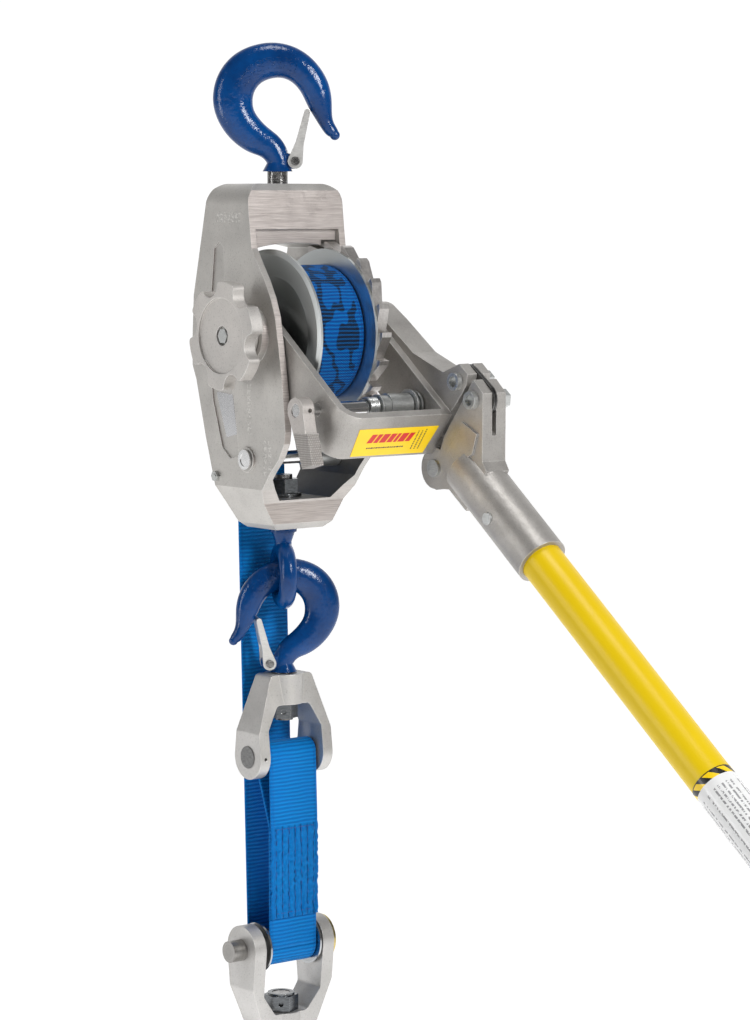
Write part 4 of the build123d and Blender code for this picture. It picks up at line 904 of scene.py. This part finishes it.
faces = grid_faces(rings + 1, segments + 1)
wrap_label = piece("handle_wrap", verts, faces, handle_wrap("handle_print", around, WRAP_LENGTH), uvs)
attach(wrap_label, "yoke")
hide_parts("handle_label")

# ---- yoke label ---------------------------------------------------------------------------
RED_VINYL = vinyl("red_print", (0.62, 0.012, 0.010), (0.50, 0.010, 0.008))
BLACK_INK = vinyl("black_print", (0.02, 0.02, 0.02), (0.05, 0.05, 0.05))
LABEL_FACE = 120.3 * MM
cross_face = AXLE + along_dir * LABEL_FACE


def label_marks(name, shapes, material, lift):
    """Flat printed shapes, each (x from, x to, height from, height to, slant) in millimetres."""
    verts, faces = [], []
    for x0, x1, n0, n1, slant in shapes:
        base = len(verts)
        for x, n in ((x0, n0), (x1, n0), (x1 + slant, n1), (x0 + slant, n1)):
            verts.append(Vector((x * MM, 0, 0)) + cross_face + normal_up * (n * MM) + along_dir * lift)
        faces.append((base, base + 1, base + 2, base + 3))
    thing = piece(name, verts, faces, material, smooth=False)
    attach(thing, "yoke")


# a row of slanted red blocks, a line of black marks under it, and three columns beside it
red_blocks = []
x = -8.0
for width in (5.0, 4.0, 6.0, 5.0, 3.0, 6.0, 4.5):
    red_blocks.append((x, x + width, -5.0, 3.2, 2.4))
    x += width + 1.1
label_marks("label_red_blocks", red_blocks, RED_VINYL, 0.06 * MM)
black_marks = []
x = -6.0
while x < 28:
    width = random.uniform(1.0, 2.6)
    black_marks.append((x, x + width, -10.6, -9.2, 0.3))
    x += width + 0.7
for i in range(3):
    x = 36.5 + 3.4 * i
    n = -13.0
    while n < 5:
        step = random.uniform(0.8, 2.0)
        black_marks.append((x, x + 1.0, n, n + step, 0.0))
        n += step + 0.6
label_marks("label_black_marks", black_marks, BLACK_INK, 0.05 * MM)

# ---- studio -------------------------------------------------------------------------------
# the block runs down by the drum's whole range, so the floor lies below its lowest place
drum_range = [math.radians(v) for v in joints["drum_spin"]["range_deg"]]
travel = next(c for c in frame["record"]["behaviour"]["couplings"] if c["joint"] == "block_travel")
DROP = max(abs(v * travel["ratio"]) for v in drum_range)
FLOOR_GAP, FLOOR_HALF = 0.10, 14
floor_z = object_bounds()[0][2] - DROP - FLOOR_GAP
corners = [(FLOOR_HALF * x, FLOOR_HALF * y, floor_z) for x, y in ((-1, -1), (1, -1), (1, 1), (-1, 1))]
floor_mesh = bpy.data.meshes.new("floor")
floor_mesh.from_pydata(corners, [], [(0, 1, 2, 3)])
floor_shader = Shader("floor")
floor_shader.set("Base Color", (0.90, 0.90, 0.90))
floor_shader.set("Roughness", 0.9)
floor_shader.set("Emission Color", (1.0, 1.0, 1.0))
floor_shader.set("Emission Strength", 0.78)
floor_mesh.materials.append(floor_shader.material)
floor = bpy.data.objects.new("floor", floor_mesh)
bpy.context.scene.collection.objects.link(floor)

BACKDROP, DIMMEST = 1.05, 0.12
world = bpy.data.worlds.new("studio")
bpy.context.scene.world = world
world.use_nodes = True
tree = world.node_tree
background = tree.nodes["Background"]
coordinate = tree.nodes.new("ShaderNodeTexCoord")
facing = tree.nodes.new("ShaderNodeVectorMath")
facing.operation = "DOT_PRODUCT"
facing.inputs[1].default_value = tuple(-back)
tree.links.new(coordinate.outputs["Generated"], facing.inputs[0])
spread = tree.nodes.new("ShaderNodeMapRange")
tree.links.new(facing.outputs["Value"], spread.inputs["Value"])
for name, number in (("From Min", 0.15), ("From Max", 0.90), ("To Min", DIMMEST), ("To Max", BACKDROP)):
    spread.inputs[name].default_value = number
# the backdrop itself is plain white from every side; the grading only shapes the light
rays = tree.nodes.new("ShaderNodeLightPath")
backdrop = tree.nodes.new("ShaderNodeMix")
backdrop.data_type = "FLOAT"
tree.links.new(rays.outputs["Is Camera Ray"], backdrop.inputs[0])
tree.links.new(spread.outputs[0], backdrop.inputs[2])
backdrop.inputs[3].default_value = BACKDROP
tree.links.new(backdrop.outputs[0], background.inputs["Strength"])
background.inputs["Color"].default_value = (1, 1, 1, 1)

LIT_CENTRE = AXLE + Vector((0, -0.05, -0.12))


def softbox(name, offset, width, height, power):
    """A rectangular lamp at an offset from the lit centre, turned towards it."""
    data = bpy.data.lights.new(name, "AREA")
    data.shape = "RECTANGLE"
    data.size, data.size_y = width, height
    data.energy = power
    lamp = bpy.data.objects.new(name, data)
    bpy.context.scene.collection.objects.link(lamp)
    lamp.location = LIT_CENTRE + offset
    lamp.rotation_euler = (-offset).to_track_quat("-Z", "Y").to_euler()


softbox("key", right * 1.25 + back * 1.35 + up * 0.85, 0.45, 0.8, 30)
softbox("fill", -right * 1.7 + back * 0.55 + up * 0.25, 0.25, 1.3, 8)
softbox("top", up * 1.9 + back * 0.3, 0.7, 0.7, 12)
bpy.context.scene.view_settings.view_transform = "Standard"
